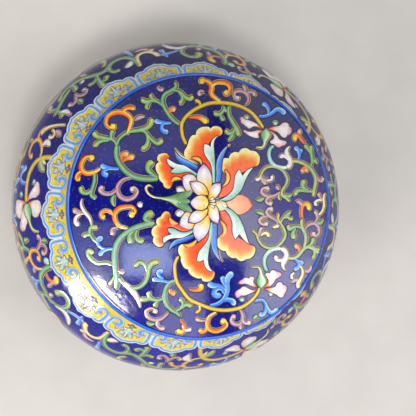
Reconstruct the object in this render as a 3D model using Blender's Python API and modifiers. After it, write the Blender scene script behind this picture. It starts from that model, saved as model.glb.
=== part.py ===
"""Covered porcelain jar: a round, hollow jar on a foot ring, and the cap lid that lifts off it.

Metres, +Z up.  The jar stands on its foot ring at z = 0, centred on the Z axis.  The lid's wall
stands on the ledge of the shoulder and goes round the jar's upright neck.
"""
from math import cos, hypot, pi, sin

import bpy

# Driving dimensions.  A station is a radius and a height.
FOOT_R = 0.0340            # foot ring: outer radius at the ground
FOOT_RING_W = 0.0036       # foot ring: width of the ground face
FOOT_H = 0.0056            # foot ring: height of its outer side
FOOT_TOP_R = 0.0350        # foot ring: outer radius where the belly begins
BASE_RECESS = 0.0048       # hollow under the base, inside the foot ring
BELLY = (0.0544, 0.0500)      # widest station of the jar
SHOULDER = (0.0472, 0.0712)   # station half-way down the shoulder
LEDGE = (0.0400, 0.0825)      # outer corner of the ledge that carries the lid
WALL = 0.0036              # thickness of the jar's wall
NECK_R = 0.0354            # outer radius of the upright neck, inside the lid
NECK_TOP_Z = 0.0912        # top of the neck
LID_R = 0.0410             # radius of the lid at its rim, its widest
LID_LIP_R = 0.0399         # radius of the lid at its lip; the wall flares from here up to the rim
LID_WALL = 0.0033          # thickness of the lid's wall at its lip
LID_TOP_T = 0.0036         # thickness of the lid's top
LID_EDGE_Z = 0.0960        # height of the lid's outer edge
LID_CROWN = 0.0018         # rise of the lid's top, from its edge to its centre
LID_ROUND = 0.0016         # radius of the rounded outer edge
INNER_ROUND = 0.0018       # rounding inside the lid, at the foot's recess and at the neck
LIP_BEVEL = 0.0006         # bevel on the lid's lip and at the foot of the neck
SEAT_GAP = 0.0003          # clearance between the lid and the ledge

# Slopes of the outer side: metres of radius gained for each metre down.
LEDGE_SLOPE = 0.58
SHOULDER_SLOPE = 0.64
FOOT_SLOPE = -0.90

TURN_STEPS = 64            # facets round each turned piece
CROWN_STEPS = 8            # rings from the lid's edge to its centre
FOOT_INNER_R = FOOT_R - FOOT_RING_W

PORCELAIN = {"colour": (0.010, 0.014, 0.090, 1.0), "roughness": 0.12}


def flank(start, start_slope, end, end_slope, steps, reach=(0.34, 0.34)):
    """Points after start on a smooth curve down to end; reach is each handle's share of the drop."""
    drop = start[1] - end[1]
    upper = (start[0] + start_slope * drop * reach[0], start[1] - drop * reach[0])
    lower = (end[0] - end_slope * drop * reach[1], end[1] + drop * reach[1])
    points = []
    for i in range(1, steps + 1):
        t = i / steps
        weights = ((1 - t) ** 3, 3 * (1 - t) ** 2 * t, 3 * (1 - t) * t * t, t ** 3)
        handles = (start, upper, lower, end)
        points.append(tuple(sum(w * p[axis] for w, p in zip(weights, handles)) for axis in (0, 1)))
    return points


def arc(centre, radius, start_deg, end_deg, steps):
    """Points on a round corner of the profile, both ends included."""
    points = []
    for i in range(steps + 1):
        angle = (start_deg + (end_deg - start_deg) * i / steps) * pi / 180
        points.append((centre[0] + radius * cos(angle), centre[1] + radius * sin(angle)))
    return points


def outer_side():
    """The jar's outer side, from the ledge's corner down to the top of the foot ring."""
    foot = (FOOT_TOP_R, FOOT_H)
    side = [LEDGE]
    side += flank(LEDGE, LEDGE_SLOPE, SHOULDER, SHOULDER_SLOPE, 4)
    side += flank(SHOULDER, SHOULDER_SLOPE, BELLY, 0.0, 7, reach=(0.40, 0.45))
    side += flank(BELLY, 0.0, foot, FOOT_SLOPE, 9, reach=(0.52, 0.34))
    return side


def inset(points, distance):
    """The same run of points, moved inwards from the wall's outer face."""
    moved = []
    for i, point in enumerate(points):
        before = points[max(i - 1, 0)]
        after = points[min(i + 1, len(points) - 1)]
        along = (after[0] - before[0], after[1] - before[1])
        length = hypot(*along)
        moved.append((point[0] + along[1] / length * distance,
                      point[1] - along[0] / length * distance))
    return moved


def crown(edge, centre_rise, steps):
    """Points after the edge on a shallow dome, in to its middle on the axis."""
    points = []
    for i in range(1, steps + 1):
        share = 1 - i / steps
        points.append((edge[0] * share, edge[1] + centre_rise * (1 - share ** 2)))
    return points


def jar_profile():
    """Closed section of the jar, from the floor's centre over the rim to the middle of the base."""
    side = outer_side()
    neck_inner_r = NECK_R - WALL
    lip_r = WALL / 2
    floor_z = BASE_RECESS + WALL
    wall_span = (floor_z + WALL / 2, LEDGE[1] - WALL)
    wall = [p for p in inset(side, WALL) if wall_span[0] < p[1] < wall_span[1]]
    profile = [(0.0, floor_z), (FOOT_INNER_R, floor_z)]
    profile += list(reversed(wall))
    profile += [(neck_inner_r, LEDGE[1] - INNER_ROUND)]
    profile += arc((neck_inner_r + lip_r, NECK_TOP_Z - lip_r), lip_r, 180, 0, 6)
    profile += [(NECK_R, LEDGE[1] + LIP_BEVEL), (NECK_R + LIP_BEVEL, LEDGE[1])]
    profile += side
    profile += [(FOOT_R, 0.0), (FOOT_INNER_R, 0.0), (FOOT_INNER_R, BASE_RECESS - INNER_ROUND),
                (FOOT_INNER_R - INNER_ROUND, BASE_RECESS), (0.0, BASE_RECESS)]
    return profile


def lid_profile():
    """Closed section of the lid, from the middle of its underside round the lip to the top."""
    inner_r = LID_LIP_R - LID_WALL
    lip_z = LEDGE[1] + SEAT_GAP
    under_z = LID_EDGE_Z - LID_TOP_T
    under_edge = (inner_r - INNER_ROUND, under_z)
    corner = (LID_R - LID_ROUND, LID_EDGE_Z - LID_ROUND)
    top_edge = (corner[0], LID_EDGE_Z)
    underside = [under_edge] + crown(under_edge, LID_CROWN, CROWN_STEPS // 2)
    profile = list(reversed(underside))
    profile += [(inner_r, under_z - INNER_ROUND), (inner_r, lip_z + LIP_BEVEL)]
    profile += [(inner_r + LIP_BEVEL, lip_z), (LID_LIP_R - LIP_BEVEL, lip_z)]
    profile += [(LID_LIP_R, lip_z + LIP_BEVEL)]
    profile += arc(corner, LID_ROUND, 0, 90, 6)
    profile += crown(top_edge, LID_CROWN, CROWN_STEPS)
    return list(reversed(profile))


def make_material(name, finish):
    material = bpy.data.materials.new(name)
    material.use_nodes = True
    shader = material.node_tree.nodes["Principled BSDF"]
    shader.inputs["Base Color"].default_value = finish["colour"]
    shader.inputs["Roughness"].default_value = finish["roughness"]
    shader.inputs["Metallic"].default_value = 0.0
    material.diffuse_color = finish["colour"]
    return material


def turned(name, profile, material, collection):
    """A solid of revolution: the section as a line of edges, turned by a Screw modifier."""
    mesh = bpy.data.meshes.new(name)
    points = [(radius, 0.0, height) for radius, height in profile]
    mesh.from_pydata(points, [(i, i + 1) for i in range(len(points) - 1)], [])
    piece = bpy.data.objects.new(name, mesh)
    collection.objects.link(piece)
    screw = piece.modifiers.new("Turn", 'SCREW')
    screw.axis = 'Z'
    screw.steps = TURN_STEPS
    screw.render_steps = TURN_STEPS
    screw.use_merge_vertices = True
    screw.merge_threshold = 0.00005
    screw.use_smooth_shade = True
    mesh.materials.append(material)
    return piece


def main():
    for old in list(bpy.data.objects):
        bpy.data.objects.remove(old, do_unlink=True)
    collection = bpy.data.collections.new("covered_jar")
    bpy.context.scene.collection.children.link(collection)
    stand = bpy.data.objects.new("covered_jar_origin", None)
    collection.objects.link(stand)
    for name, profile in (("jar", jar_profile()), ("lid", lid_profile())):
        piece = turned(name, profile, make_material(name + "_glaze", PORCELAIN), collection)
        piece.parent = stand


main()
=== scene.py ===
"""Covered porcelain jar: cobalt glaze, painted in raised enamels with a lotus scroll.

The glazed bodies are turned from the CAD model's own section, a hair's breadth inside it.  The
painting is made of enamel strokes, each a thin raised strip that lies on the turned surface.
Lengths are metres unless a name says otherwise; an enamel stroke's width is in millimetres.
"""
from math import cos, exp, pi, radians, sin

import bpy
import numpy as np
from mathutils import Matrix, Vector


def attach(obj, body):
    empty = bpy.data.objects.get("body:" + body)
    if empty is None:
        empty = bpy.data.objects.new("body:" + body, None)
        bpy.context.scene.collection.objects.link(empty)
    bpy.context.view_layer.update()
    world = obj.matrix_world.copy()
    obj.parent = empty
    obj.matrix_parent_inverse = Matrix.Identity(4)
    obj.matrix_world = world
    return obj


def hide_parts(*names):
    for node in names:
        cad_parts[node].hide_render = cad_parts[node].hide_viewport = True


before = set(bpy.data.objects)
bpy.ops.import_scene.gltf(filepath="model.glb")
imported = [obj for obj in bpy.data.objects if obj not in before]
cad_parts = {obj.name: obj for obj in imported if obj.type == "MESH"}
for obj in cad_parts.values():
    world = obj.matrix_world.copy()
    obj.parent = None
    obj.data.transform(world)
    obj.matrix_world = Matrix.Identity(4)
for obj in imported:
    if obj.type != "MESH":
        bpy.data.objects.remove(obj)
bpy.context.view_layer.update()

# ---------------------------------------------------------------- the CAD model's section
FOOT_R = 0.0340
FOOT_RING_W = 0.0036
FOOT_H = 0.0056
FOOT_TOP_R = 0.0350
BASE_RECESS = 0.0048
BELLY = (0.0544, 0.0500)
SHOULDER = (0.0472, 0.0712)
LEDGE = (0.0400, 0.0825)
WALL = 0.0036
NECK_R = 0.0354
NECK_TOP_Z = 0.0912
LID_R = 0.0410
LID_LIP_R = 0.0399
LID_WALL = 0.0033
LID_TOP_T = 0.0036
LID_EDGE_Z = 0.0960
LID_CROWN = 0.0018
LID_ROUND = 0.0016
INNER_ROUND = 0.0018
LIP_BEVEL = 0.0006
SEAT_GAP = 0.0003
LEDGE_SLOPE = 0.58
SHOULDER_SLOPE = 0.64
FOOT_SLOPE = -0.90
FOOT_INNER_R = FOOT_R - FOOT_RING_W
LID_LIP_Z = LEDGE[1] + SEAT_GAP

MM = 0.001
GLAZE_INSET = 0.22 * MM      # the glaze lies this far inside the CAD, and leaves room for enamel
SEGMENTS = 288               # facets round each glazed body
SIDE_STEPS = (24, 40, 60)    # stations down the upper shoulder, the lower shoulder and the belly
LID_TOP_STEPS = 60
LID_EDGE_STEPS = 14
LID_WALL_STEPS = 16

# ---------------------------------------------------------------- enamel colours
GOLD_LINE = (204, 168, 62)
BROWN_LINE = (58, 34, 22)
EDGE_SHARE = 0.6             # how much of its edge's colour an even stroke has between edge and middle


def linear(colour):
    """Scene-linear values of a display colour given as three numbers from 0 to 255."""
    share = np.asarray(colour, float) / 255
    return np.where(share <= 0.04045, share / 12.92, ((share + 0.055) / 1.055) ** 2.4)


def display_colour(word):
    """Three numbers from 0 to 255, from a line's name or the numbers with commas between."""
    named = {"gold": GOLD_LINE, "brown": BROWN_LINE}
    return named[word] if word in named else tuple(map(int, word.split(",")))


def read_enamels(table):
    """Each enamel's line on a stroke's left, its line on the right, and its colours along the stroke.

    A heading gives the name and the two lines.  A row below it gives a share of the stroke's length
    and the colours across it there, from the right side to the left.  Two colours written
    edge ~ middle are the same on both sides.
    """
    enamels = {}
    for row in table.strip().splitlines():
        first, *words = row.split()
        if row[0].isalpha():
            rows = []
            enamels[first] = (*map(display_colour, words), rows)
            continue
        if "~" in words:
            edge, middle = display_colour(words[0]), display_colour(words[2])
            between = tuple(EDGE_SHARE * a + (1 - EDGE_SHARE) * b for a, b in zip(edge, middle))
            colours = (edge, between, middle, between, edge)
        else:
            colours = tuple(map(display_colour, words))
        rows.append((float(first), colours))
    return enamels


ENAMELS = read_enamels("""
green gold 22,34,30
0 62,122,84 ~ 150,198,152
0.6 82,134,80 ~ 166,204,142
1 150,164,56 ~ 210,214,116
sage gold 40,42,30
0 168,156,70 ~ 220,212,140
0.5 112,148,92 ~ 184,208,154
1 168,162,66 ~ 222,218,134
yellow 84,56,10 84,56,10
0 196,156,20 ~ 240,210,62
orange gold 70,26,16
0 222,186,110 ~ 250,238,200
0.2 250,214,90 252,222,90 250,200,60 246,140,34 240,96,22
0.5 250,192,44 250,172,38 249,136,32 243,90,20 238,80,18
0.78 250,208,50 251,196,44 249,156,36 244,104,22 242,96,20
0.9 238,182,24 ~ 252,226,70
1 236,190,24 ~ 252,236,90
amber gold 70,26,16
0 222,186,110 ~ 250,238,200
0.3 250,212,84 250,206,70 246,178,50 238,136,30 230,104,22
0.8 248,196,54 249,188,46 245,166,40 236,126,26 228,98,20
1 236,186,24 ~ 252,230,80
stem gold 22,34,30
0 72,124,80 ~ 156,198,144
1 62,122,84 ~ 150,198,152
hook gold 70,26,16
0 240,70,24 ~ 248,110,44
0.5 242,90,24 ~ 250,146,44
0.72 238,186,24 ~ 250,228,66
1 236,200,30 ~ 252,240,110
ember gold 70,26,16
0 236,84,34 ~ 246,106,46
0.5 242,120,52 ~ 248,136,60
1 248,206,120 ~ 252,228,160
flame brown brown
0 240,96,20 ~ 250,190,50
0.5 240,150,30 ~ 250,225,120
1 240,120,30 ~ 250,215,90
mauve gold 52,30,48
0 152,104,128 ~ 204,160,174
0.6 162,114,138 ~ 214,178,190
1 206,168,168 ~ 246,228,214
blue 18,22,58 18,22,58
0 20,82,204 28,98,226 44,120,240 90,162,250 150,202,255
0.6 30,104,224 44,124,238 70,148,246 116,186,252 176,218,255
1 84,154,240 104,172,246 140,196,250 170,212,252 220,236,252
leaf_blue brown brown
0 18,72,196 24,88,214 42,112,228 76,148,242 130,186,250
0.6 30,96,216 40,114,228 64,136,236 104,168,246 160,204,250
1 90,152,234 104,164,238 130,184,244 166,206,248 214,230,250
teal 50,70,54 50,70,54
0 90,172,150 ~ 150,215,195
0.5 140,204,184 ~ 200,236,224
1 220,235,228 ~ 252,252,248
fork brown 60,62,44
0 88,174,160 104,186,170 136,204,190 190,226,214 230,242,234
0.4 128,192,178 156,208,196 190,224,214 224,240,232 246,250,244
0.8 212,230,222 226,239,231 238,246,240 248,250,246 252,252,248
jade gold 54,84,66
0 120,196,160 ~ 176,226,200
0.55 130,200,172 ~ 190,232,212
1 200,220,206 ~ 248,250,244
white gold 56,44,50
0 206,196,200 ~ 252,250,246
1 214,206,206 ~ 252,250,246
cream gold 66,44,26
0 222,196,100 ~ 250,236,180
1 225,205,140 ~ 252,248,232
pink gold 70,40,50
0 232,150,150 ~ 246,196,190
1 224,150,170 ~ 246,206,214
bloom 112,70,54 84,56,60
0 232,76,30 ~ 244,100,50
0.14 236,100,56 ~ 246,156,120
0.28 238,206,192 ~ 250,240,236
0.64 230,218,222 ~ 251,248,249
0.84 214,158,176 ~ 238,202,212
1 192,104,134 ~ 220,142,164
bud gold 50,80,60
0 92,158,108 128,184,136 164,208,172 194,224,194 150,196,132
0.4 84,150,78 120,180,116 170,212,168 212,234,206 166,198,104
0.6 140,172,70 182,206,116 220,232,190 240,244,230 206,212,136
1 170,150,60 210,196,110 230,220,160 235,226,180 180,160,90
lotus brown brown
0 236,142,14 ~ 250,200,40
0.2 238,158,34 ~ 251,212,66
0.38 238,196,116 ~ 251,236,180
0.54 224,214,222 ~ 252,250,250
0.76 214,202,222 ~ 250,246,250
0.9 176,122,184 ~ 222,188,222
1 140,60,140 ~ 170,90,166
lotus_bud brown brown
0 240,190,30 ~ 252,222,70
0.35 240,196,60 ~ 252,232,120
0.62 236,220,196 ~ 251,246,230
0.84 214,196,214 ~ 246,238,244
1 160,96,160 ~ 190,130,186
salmon 206,150,60 150,80,40
0 246,226,190 ~ 250,236,205
0.3 248,180,130 ~ 250,196,150
1 246,116,66 ~ 250,140,92
ruffle brown brown
0 246,62,14 250,72,18 251,78,22 250,84,26 248,96,34
0.2 246,62,14 250,70,16 251,76,20 250,88,28 248,110,40
0.34 244,60,14 248,66,16 250,72,18 251,78,22 251,86,26 250,112,36 250,168,70 250,226,140 248,240,184
0.84 248,88,14 250,94,16 251,100,20 251,106,26 250,118,34 250,144,48 250,190,88 250,232,150 250,244,196
1 250,98,22 250,104,26 250,120,36 249,154,60 246,190,96
ruffle_head brown brown
0 251,84,26 251,92,30 250,116,36 248,170,70 246,200,110
0.18 246,62,14 249,68,16 250,74,18 251,80,24 251,94,30 250,120,40 250,176,78 250,228,142 248,242,190
0.82 250,72,20 251,78,22 251,84,26 251,92,30 250,110,36 250,144,50 250,192,92 250,232,150 250,244,196
1 251,84,26 251,92,30 250,116,36 248,160,62 246,190,96
claw brown brown
0 246,84,24 ~ 252,82,24
1 250,74,20 ~ 252,80,24
calyx brown 40,54,36
0 190,140,100 214,176,130 236,214,180 246,236,210 220,196,130
0.2 170,152,80 214,200,120 240,232,170 246,240,200 206,192,110
0.42 112,150,76 142,176,96 184,208,130 228,234,190 172,194,120
0.62 74,130,76 104,154,94 150,190,126 206,226,190 140,180,124
1 58,112,74 84,138,90 124,170,116 176,208,170 120,164,126
sepal 30,62,40 30,62,40
0 104,154,98 ~ 118,166,112
0.6 88,140,92 ~ 124,170,118
1 104,142,108 ~ 160,194,156
pistil brown brown
0 226,150,60 ~ 250,196,110
0.5 240,214,170 ~ 252,240,214
1 240,232,214 ~ 253,251,244
lappet_edge 120,128,134 214,196,120
0 236,238,236 224,232,240 110,168,236 84,150,236 140,186,238 222,232,242 240,242,240
lappet_curl 170,168,130 170,168,130
0 226,234,240 120,174,234 84,150,234 120,174,234 226,234,240
lappet_ground 150,120,20 150,120,20
0 236,212,4 ~ 240,218,8
1 242,222,8 ~ 246,228,12
frost 120,126,110 120,126,110
0 150,196,186 ~ 206,226,218
1 166,190,196 ~ 224,232,230
lilac 120,110,110 120,110,110
0 196,196,210 ~ 226,226,236
1 150,148,186 ~ 190,188,214
purple 84,40,100 84,40,100
0 136,76,170 ~ 170,110,200
1 136,76,170 ~ 180,124,206
goldline 110,70,14 110,70,14
0 200,140,40 ~ 246,206,110
rim_blue 24,60,190 24,60,190
0 36,90,214 60,130,246 36,96,226 16,44,176 12,20,120
""")
# Each region's strokes are joined into one piece for each family of colours.
FAMILIES = {
    "green": "green stem sage jade bud calyx sepal teal fork frost",
    "warm": "yellow orange amber hook ember flame ruffle ruffle_head claw salmon goldline cream pistil "
            "lappet_ground",
    "cool": "mauve blue leaf_blue white pink bloom lotus lotus_bud lilac purple lappet_edge lappet_curl "
            "rim_blue",
}
FAMILY_OF = {enamel: family for family, names in FAMILIES.items() for enamel in names.split()}

# ---------------------------------------------------------------- turned sections


def flank(start, start_slope, end, end_slope, steps, reach=(0.34, 0.34)):
    """Points after start on a smooth curve down to end, as the CAD model draws it."""
    drop = start[1] - end[1]
    upper = (start[0] + start_slope * drop * reach[0], start[1] - drop * reach[0])
    lower = (end[0] - end_slope * drop * reach[1], end[1] + drop * reach[1])
    points = []
    for i in range(1, steps + 1):
        t = i / steps
        weights = ((1 - t) ** 3, 3 * (1 - t) ** 2 * t, 3 * (1 - t) * t * t, t ** 3)
        handles = (start, upper, lower, end)
        points.append(tuple(sum(w * p[axis] for w, p in zip(weights, handles)) for axis in (0, 1)))
    return points


def arc(centre, radius, start_deg, end_deg, steps):
    """Points on a round corner of the section, both ends included."""
    angles = [radians(start_deg + (end_deg - start_deg) * i / steps) for i in range(steps + 1)]
    return [(centre[0] + radius * cos(a), centre[1] + radius * sin(a)) for a in angles]


def outer_side():
    """The jar's outer side, from the ledge's corner down to the top of the foot ring."""
    side = [LEDGE]
    side += flank(LEDGE, LEDGE_SLOPE, SHOULDER, SHOULDER_SLOPE, SIDE_STEPS[0])
    side += flank(SHOULDER, SHOULDER_SLOPE, BELLY, 0.0, SIDE_STEPS[1], reach=(0.40, 0.45))
    side += flank(BELLY, 0.0, (FOOT_TOP_R, FOOT_H), FOOT_SLOPE, SIDE_STEPS[2], reach=(0.52, 0.34))
    return side


def lid_outside():
    """The lid's outside, from its middle over the rounded edge to the lip."""
    corner = (LID_R - LID_ROUND, LID_EDGE_Z - LID_ROUND)
    top = []
    for i in range(LID_TOP_STEPS + 1):
        share = i / LID_TOP_STEPS
        top.append((corner[0] * share, LID_EDGE_Z + LID_CROWN * (1 - share ** 2)))
    edge = arc(corner, LID_ROUND, 90, 0, LID_EDGE_STEPS)[1:]
    (rim_r, rim_z), (low_r, low_z) = edge[-1], (LID_LIP_R, LID_LIP_Z + LIP_BEVEL)
    wall = []
    for i in range(1, LID_WALL_STEPS + 1):
        wall.append((rim_r + (low_r - rim_r) * i / LID_WALL_STEPS,
                     rim_z + (low_z - rim_z) * i / LID_WALL_STEPS))
    return top + edge + wall + [(LID_LIP_R - LIP_BEVEL, LID_LIP_Z)]


class Turned:
    """A turned surface: stations along its section, how far along each is, and its outward normal."""

    def __init__(self, section, inset):
        points = np.array(section)
        steps = np.diff(points, axis=0)
        self.along = np.concatenate([[0.0], np.cumsum(np.hypot(steps[:, 0], steps[:, 1]))])
        way = np.gradient(points, self.along, axis=0)
        way /= np.linalg.norm(way, axis=1)[:, None]
        self.normal = np.stack([-way[:, 1], way[:, 0]], 1)
        self.points = points - self.normal * inset
        self.points[:, 0] = np.maximum(self.points[:, 0], 0)

    def station(self, along, lift=0.0):
        """Radius and height at a distance along the section, raised off the surface by lift."""
        values = []
        for axis in (0, 1):
            there = np.interp(along, self.along, self.points[:, axis])
            out = np.interp(along, self.along, self.normal[:, axis])
            values.append(there + lift * out)
        return values

    def place(self, angle, along, lift):
        """Points in space, at an angle round the axis and a distance along the section."""
        radius, height = self.station(along, lift)
        return np.stack([radius * np.cos(angle), radius * np.sin(angle), height], -1)


SIDE = Turned(outer_side(), GLAZE_INSET)
LID = Turned(lid_outside(), GLAZE_INSET)

# ---------------------------------------------------------------- canvases
# A canvas puts drawn points on a surface; its scale is millimetres to a drawn unit, along x and y.
# It is flipped where the drawing's left and right change places on the surface.
LID_UNIT = 0.0004        # the lid's top is drawn in these, about a hundredth of its radius


class LidCanvas:
    """The lid's top, drawn in lid units from a middle of the canvas's own; +y is towards the back."""
    flipped = False

    def __init__(self, middle=(0.0, 0.0)):
        self.middle = middle

    def place(self, points, lift):
        """Drawn points as points in space, raised off the surface by lift."""
        x, y = points[..., 0] + self.middle[0], points[..., 1] + self.middle[1]
        return LID.place(np.arctan2(y, x), np.hypot(x, y) * LID_UNIT, lift)

    def scale(self, points):
        return np.full(points.shape, LID_UNIT / MM)


class RoundCanvas:
    """A turned side, drawn in degrees round it and millimetres down it."""
    flipped = True

    def __init__(self, surface, start_deg=0.0, start_mm=0.0):
        self.surface = surface
        self.start_deg = start_deg
        self.start_mm = start_mm

    def place(self, points, lift):
        angle = np.radians(points[..., 0] + self.start_deg)
        return self.surface.place(angle, (points[..., 1] + self.start_mm) * MM, lift)

    def scale(self, points):
        radius, _ = self.surface.station((points[..., 1] + self.start_mm) * MM)
        return np.stack([radius / MM * pi / 180, np.ones_like(radius)], -1)


class MotifCanvas:
    """A motif in hundredths of its size, upright on a turned side; may be mirrored, turned or widened."""

    def __init__(self, surface, deg, down_mm, size_mm, mirror=1, turn_deg=0.0, stretch=1.0):
        self.surface = surface
        self.deg, self.down, self.size = deg, down_mm, size_mm / 100
        self.mirror = mirror
        self.flipped = mirror < 0
        self.turn = radians(turn_deg)
        self.stretch = stretch

    def place(self, points, lift):
        x = points[..., 0] * self.mirror * self.size * self.stretch
        y = points[..., 1] * self.size
        across = x * cos(self.turn) - y * sin(self.turn)
        down = self.down - (x * sin(self.turn) + y * cos(self.turn))
        radius, _ = self.surface.station(down * MM)
        return self.surface.place(radians(self.deg) + across * MM / radius, down * MM, lift)

    def scale(self, points):
        return np.full(points.shape, self.size)


# ---------------------------------------------------------------- paths


def runs_of(path):
    """The smooth runs of a path; a bar after a point makes it a corner."""
    runs, run, numbers = [], [], []
    for word in path.split():
        if word == "|":
            runs.append(run)
            run = [run[-1]]
        else:
            numbers.append(float(word))
            if len(numbers) == 2:
                run.append(tuple(numbers))
                numbers = []
    runs.append(run)
    return [np.array(r) for r in runs if len(r) > 1]


def smooth(points, steps=10):
    """A smooth curve through the points."""
    if len(points) == 2:
        share = np.linspace(0, 1, steps)[:, None]
        return points[0] * (1 - share) + points[1] * share
    gaps = np.maximum(np.linalg.norm(np.diff(points, axis=0), axis=1), 1e-9) ** 0.5
    slopes = np.diff(points, axis=0) / gaps[:, None]
    tangents = np.empty_like(points)
    before, after = gaps[:-1, None], gaps[1:, None]
    tangents[1:-1] = (slopes[:-1] * after + slopes[1:] * before) / (before + after)
    tangents[0] = 1.5 * slopes[0] - 0.5 * tangents[1]
    tangents[-1] = 1.5 * slopes[-1] - 0.5 * tangents[-2]
    pieces = []
    for i, gap in enumerate(gaps):
        last = i == len(gaps) - 1
        t = np.linspace(0, 1, steps + 1 if last else steps, endpoint=last)[:, None]
        pieces.append((2 * t ** 3 - 3 * t ** 2 + 1) * points[i] + (t ** 3 - 2 * t ** 2 + t) * gap
                      * tangents[i] + (3 * t ** 2 - 2 * t ** 3) * points[i + 1]
                      + (t ** 3 - t ** 2) * gap * tangents[i + 1])
    return np.concatenate(pieces)


def measured(canvas, path):
    """A path as fine points, with the distance of each along it in millimetres."""
    fine = np.concatenate([smooth(run) for run in runs_of(path)])
    steps = np.diff(fine, axis=0) * canvas.scale(fine[1:])
    lengths = np.hypot(steps[:, 0], steps[:, 1])
    keep = np.concatenate([[True], lengths > 1e-6])
    return fine[keep], np.concatenate([[0.0], np.cumsum(lengths)])[keep]


def points_at(fine, distance, at):
    """The points at given distances along a measured path."""
    return np.stack([np.interp(at, distance, fine[:, axis]) for axis in (0, 1)], 1)


def spaced(fine, distance, count):
    """Evenly spaced points on a measured path."""
    return points_at(fine, distance, np.linspace(0, distance[-1], count))


def side_normals(canvas, points):
    """Unit normals, in millimetres on the surface, to the left of a line of points."""
    way = np.gradient(points, axis=0) * canvas.scale(points)
    way /= np.maximum(np.linalg.norm(way, axis=1), 1e-9)[:, None]
    return np.stack([-way[:, 1], way[:, 0]], 1)


# ---------------------------------------------------------------- brush strokes
ENAMEL_RISE = 0.034        # millimetres of height each coat of painting adds
LINE_RISE = 0.012          # height of the drawn line over the coat below it
FILL_RISE = 0.022          # height of the colour's edge over the coat below it
ENAMEL_DOME = 0.022        # how much higher a stroke is along its middle
SKIRT_RISE = -0.03         # height of the drawn line's outer edge, which is turned down
STACK = 24                 # strokes of a coat lie in this many thin layers, so that none share a face
STACK_RISE = 0.0003        # height of one such layer
LINE_MM = 0.22             # width of the line that shows at each side of a stroke
BOLD_LINE_MM = 0.26        # the same, on the large flowers
GILT_GAP_MM = 0.03         # from the dark line to the gold line beyond it
GILT_MM = 0.15             # width of the gold line
THINNEST_MM = 0.02         # half the width of a stroke at a pointed end
NARROW_MM = 1.7            # a stroke narrower than this needs fewer points across
STEP_MM = 0.42             # a stroke has its points this far apart
FEWEST_POINTS = 7          # and at least this many of them
FEWEST_PATCH_POINTS = 12   # the same, for a shape drawn by its two sides
END_CROWDING = 0.35        # how much closer the points of a stroke are towards its ends
MAP_LINE_MM = 0.5          # a narrower stroke's line is mapped as if it were this wide
MAP_FILL_MM = 0.6          # and its colours as if they were this wide
MAP_GAP = 0.003            # space between the strokes' places in the colour map
MAP_HALVINGS = 30          # how closely the map's scale is found
MAP_DIGITS = 6             # decimals that count in a stroke's size, so that each run maps it alike


def rounded(distance, radius):
    """How far a round end has opened at a distance from it, as a share of its radius."""
    near = np.clip(1 - distance / np.maximum(radius, 1e-6), 0, 1)
    return np.sqrt(1 - near ** 2)


def half_width(law, t, length, half):
    """Half the stroke's width along it, in millimetres, under each brush law."""
    start, end = t * length, (1 - t) * length
    if law == "vine":      # nearly even, round at both ends
        return half * (0.86 + 0.14 * np.sin(pi * t)) * rounded(start, half) * rounded(end, half)
    if law == "whip":      # leaves a stem thin, and swells to a fat round end
        body = half * (0.62 + 0.56 * t ** 1.6)
        return body * rounded(end, half * 1.1) * rounded(start, half * 0.5)
    if law == "horn":      # begins at a point and swells to a round end
        return half * (0.18 + 0.82 * t ** 0.8) * rounded(end, half)
    if law == "scroll":    # begins at a point, swells round the bend and ends in a bead
        body = 0.34 + 0.46 * np.sin(pi * np.minimum(t / 0.9, 1)) ** 0.8
        bead = 1.16 * np.exp(-((end - half) / (half * 1.25)) ** 2)
        return half * np.maximum(body, bead) * rounded(end, half * 1.1) * rounded(start, half * 0.4)
    if law == "tail":      # begins full and ends in a point
        return half * np.clip((1 - t) / 0.34, 0, 1) ** 0.8 * rounded(start, half)
    if law == "leaf":      # pointed at both ends
        return half * np.sin(pi * t ** 0.85) ** 0.85
    if law == "petal":     # narrow round base, fullest past its middle, pointed tip
        swell = np.sin(pi * t ** 0.92) ** 0.62
        return half * np.maximum(swell, 0.25 * (t < 0.3)) * rounded(start, half * 0.3)
    if law == "oval":      # round at both ends
        return half * np.sqrt(np.clip(1 - (2 * t - 1) ** 2, 0, 1))
    if law == "drop":      # pointed base, round end
        return half * t ** 0.8 * rounded(end, half * 1.1)
    if law == "line":      # even from end to end
        return np.full_like(t, half)
    raise ValueError(law)


def resampled(colours, count):
    """A run of colours as an evenly spaced run of count colours."""
    at = np.linspace(0, 1, count) * (len(colours) - 1)
    table = np.array(colours, float)
    return [[np.interp(x, range(len(colours)), table[:, k]) for k in range(3)] for x in at]


def colours_at(rows, t, q):
    """Enamel colours on a grid of shares along (t) and across (q from -1 to 1)."""
    widest = max(len(row[1]) for row in rows)
    table = np.array([[linear(c) for c in resampled(row[1], widest)] for row in rows])
    along = np.array([row[0] for row in rows])
    across = np.linspace(-1, 1, widest)
    grid = np.empty((len(t), len(q), 3))
    for channel in range(3):
        by_column = np.stack([np.interp(t, along, table[:, k, channel]) for k in range(widest)], 1)
        for i, values in enumerate(by_column):
            grid[i, :, channel] = np.interp(q, across, values)
    return grid


def columns_across(stops, width):
    """How many points a stroke has across it: more for many colours, fewer where it is narrow."""
    if stops > 7:
        return 17
    if stops > 5:
        return 13
    return 5 if width < NARROW_MM else 9


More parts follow.
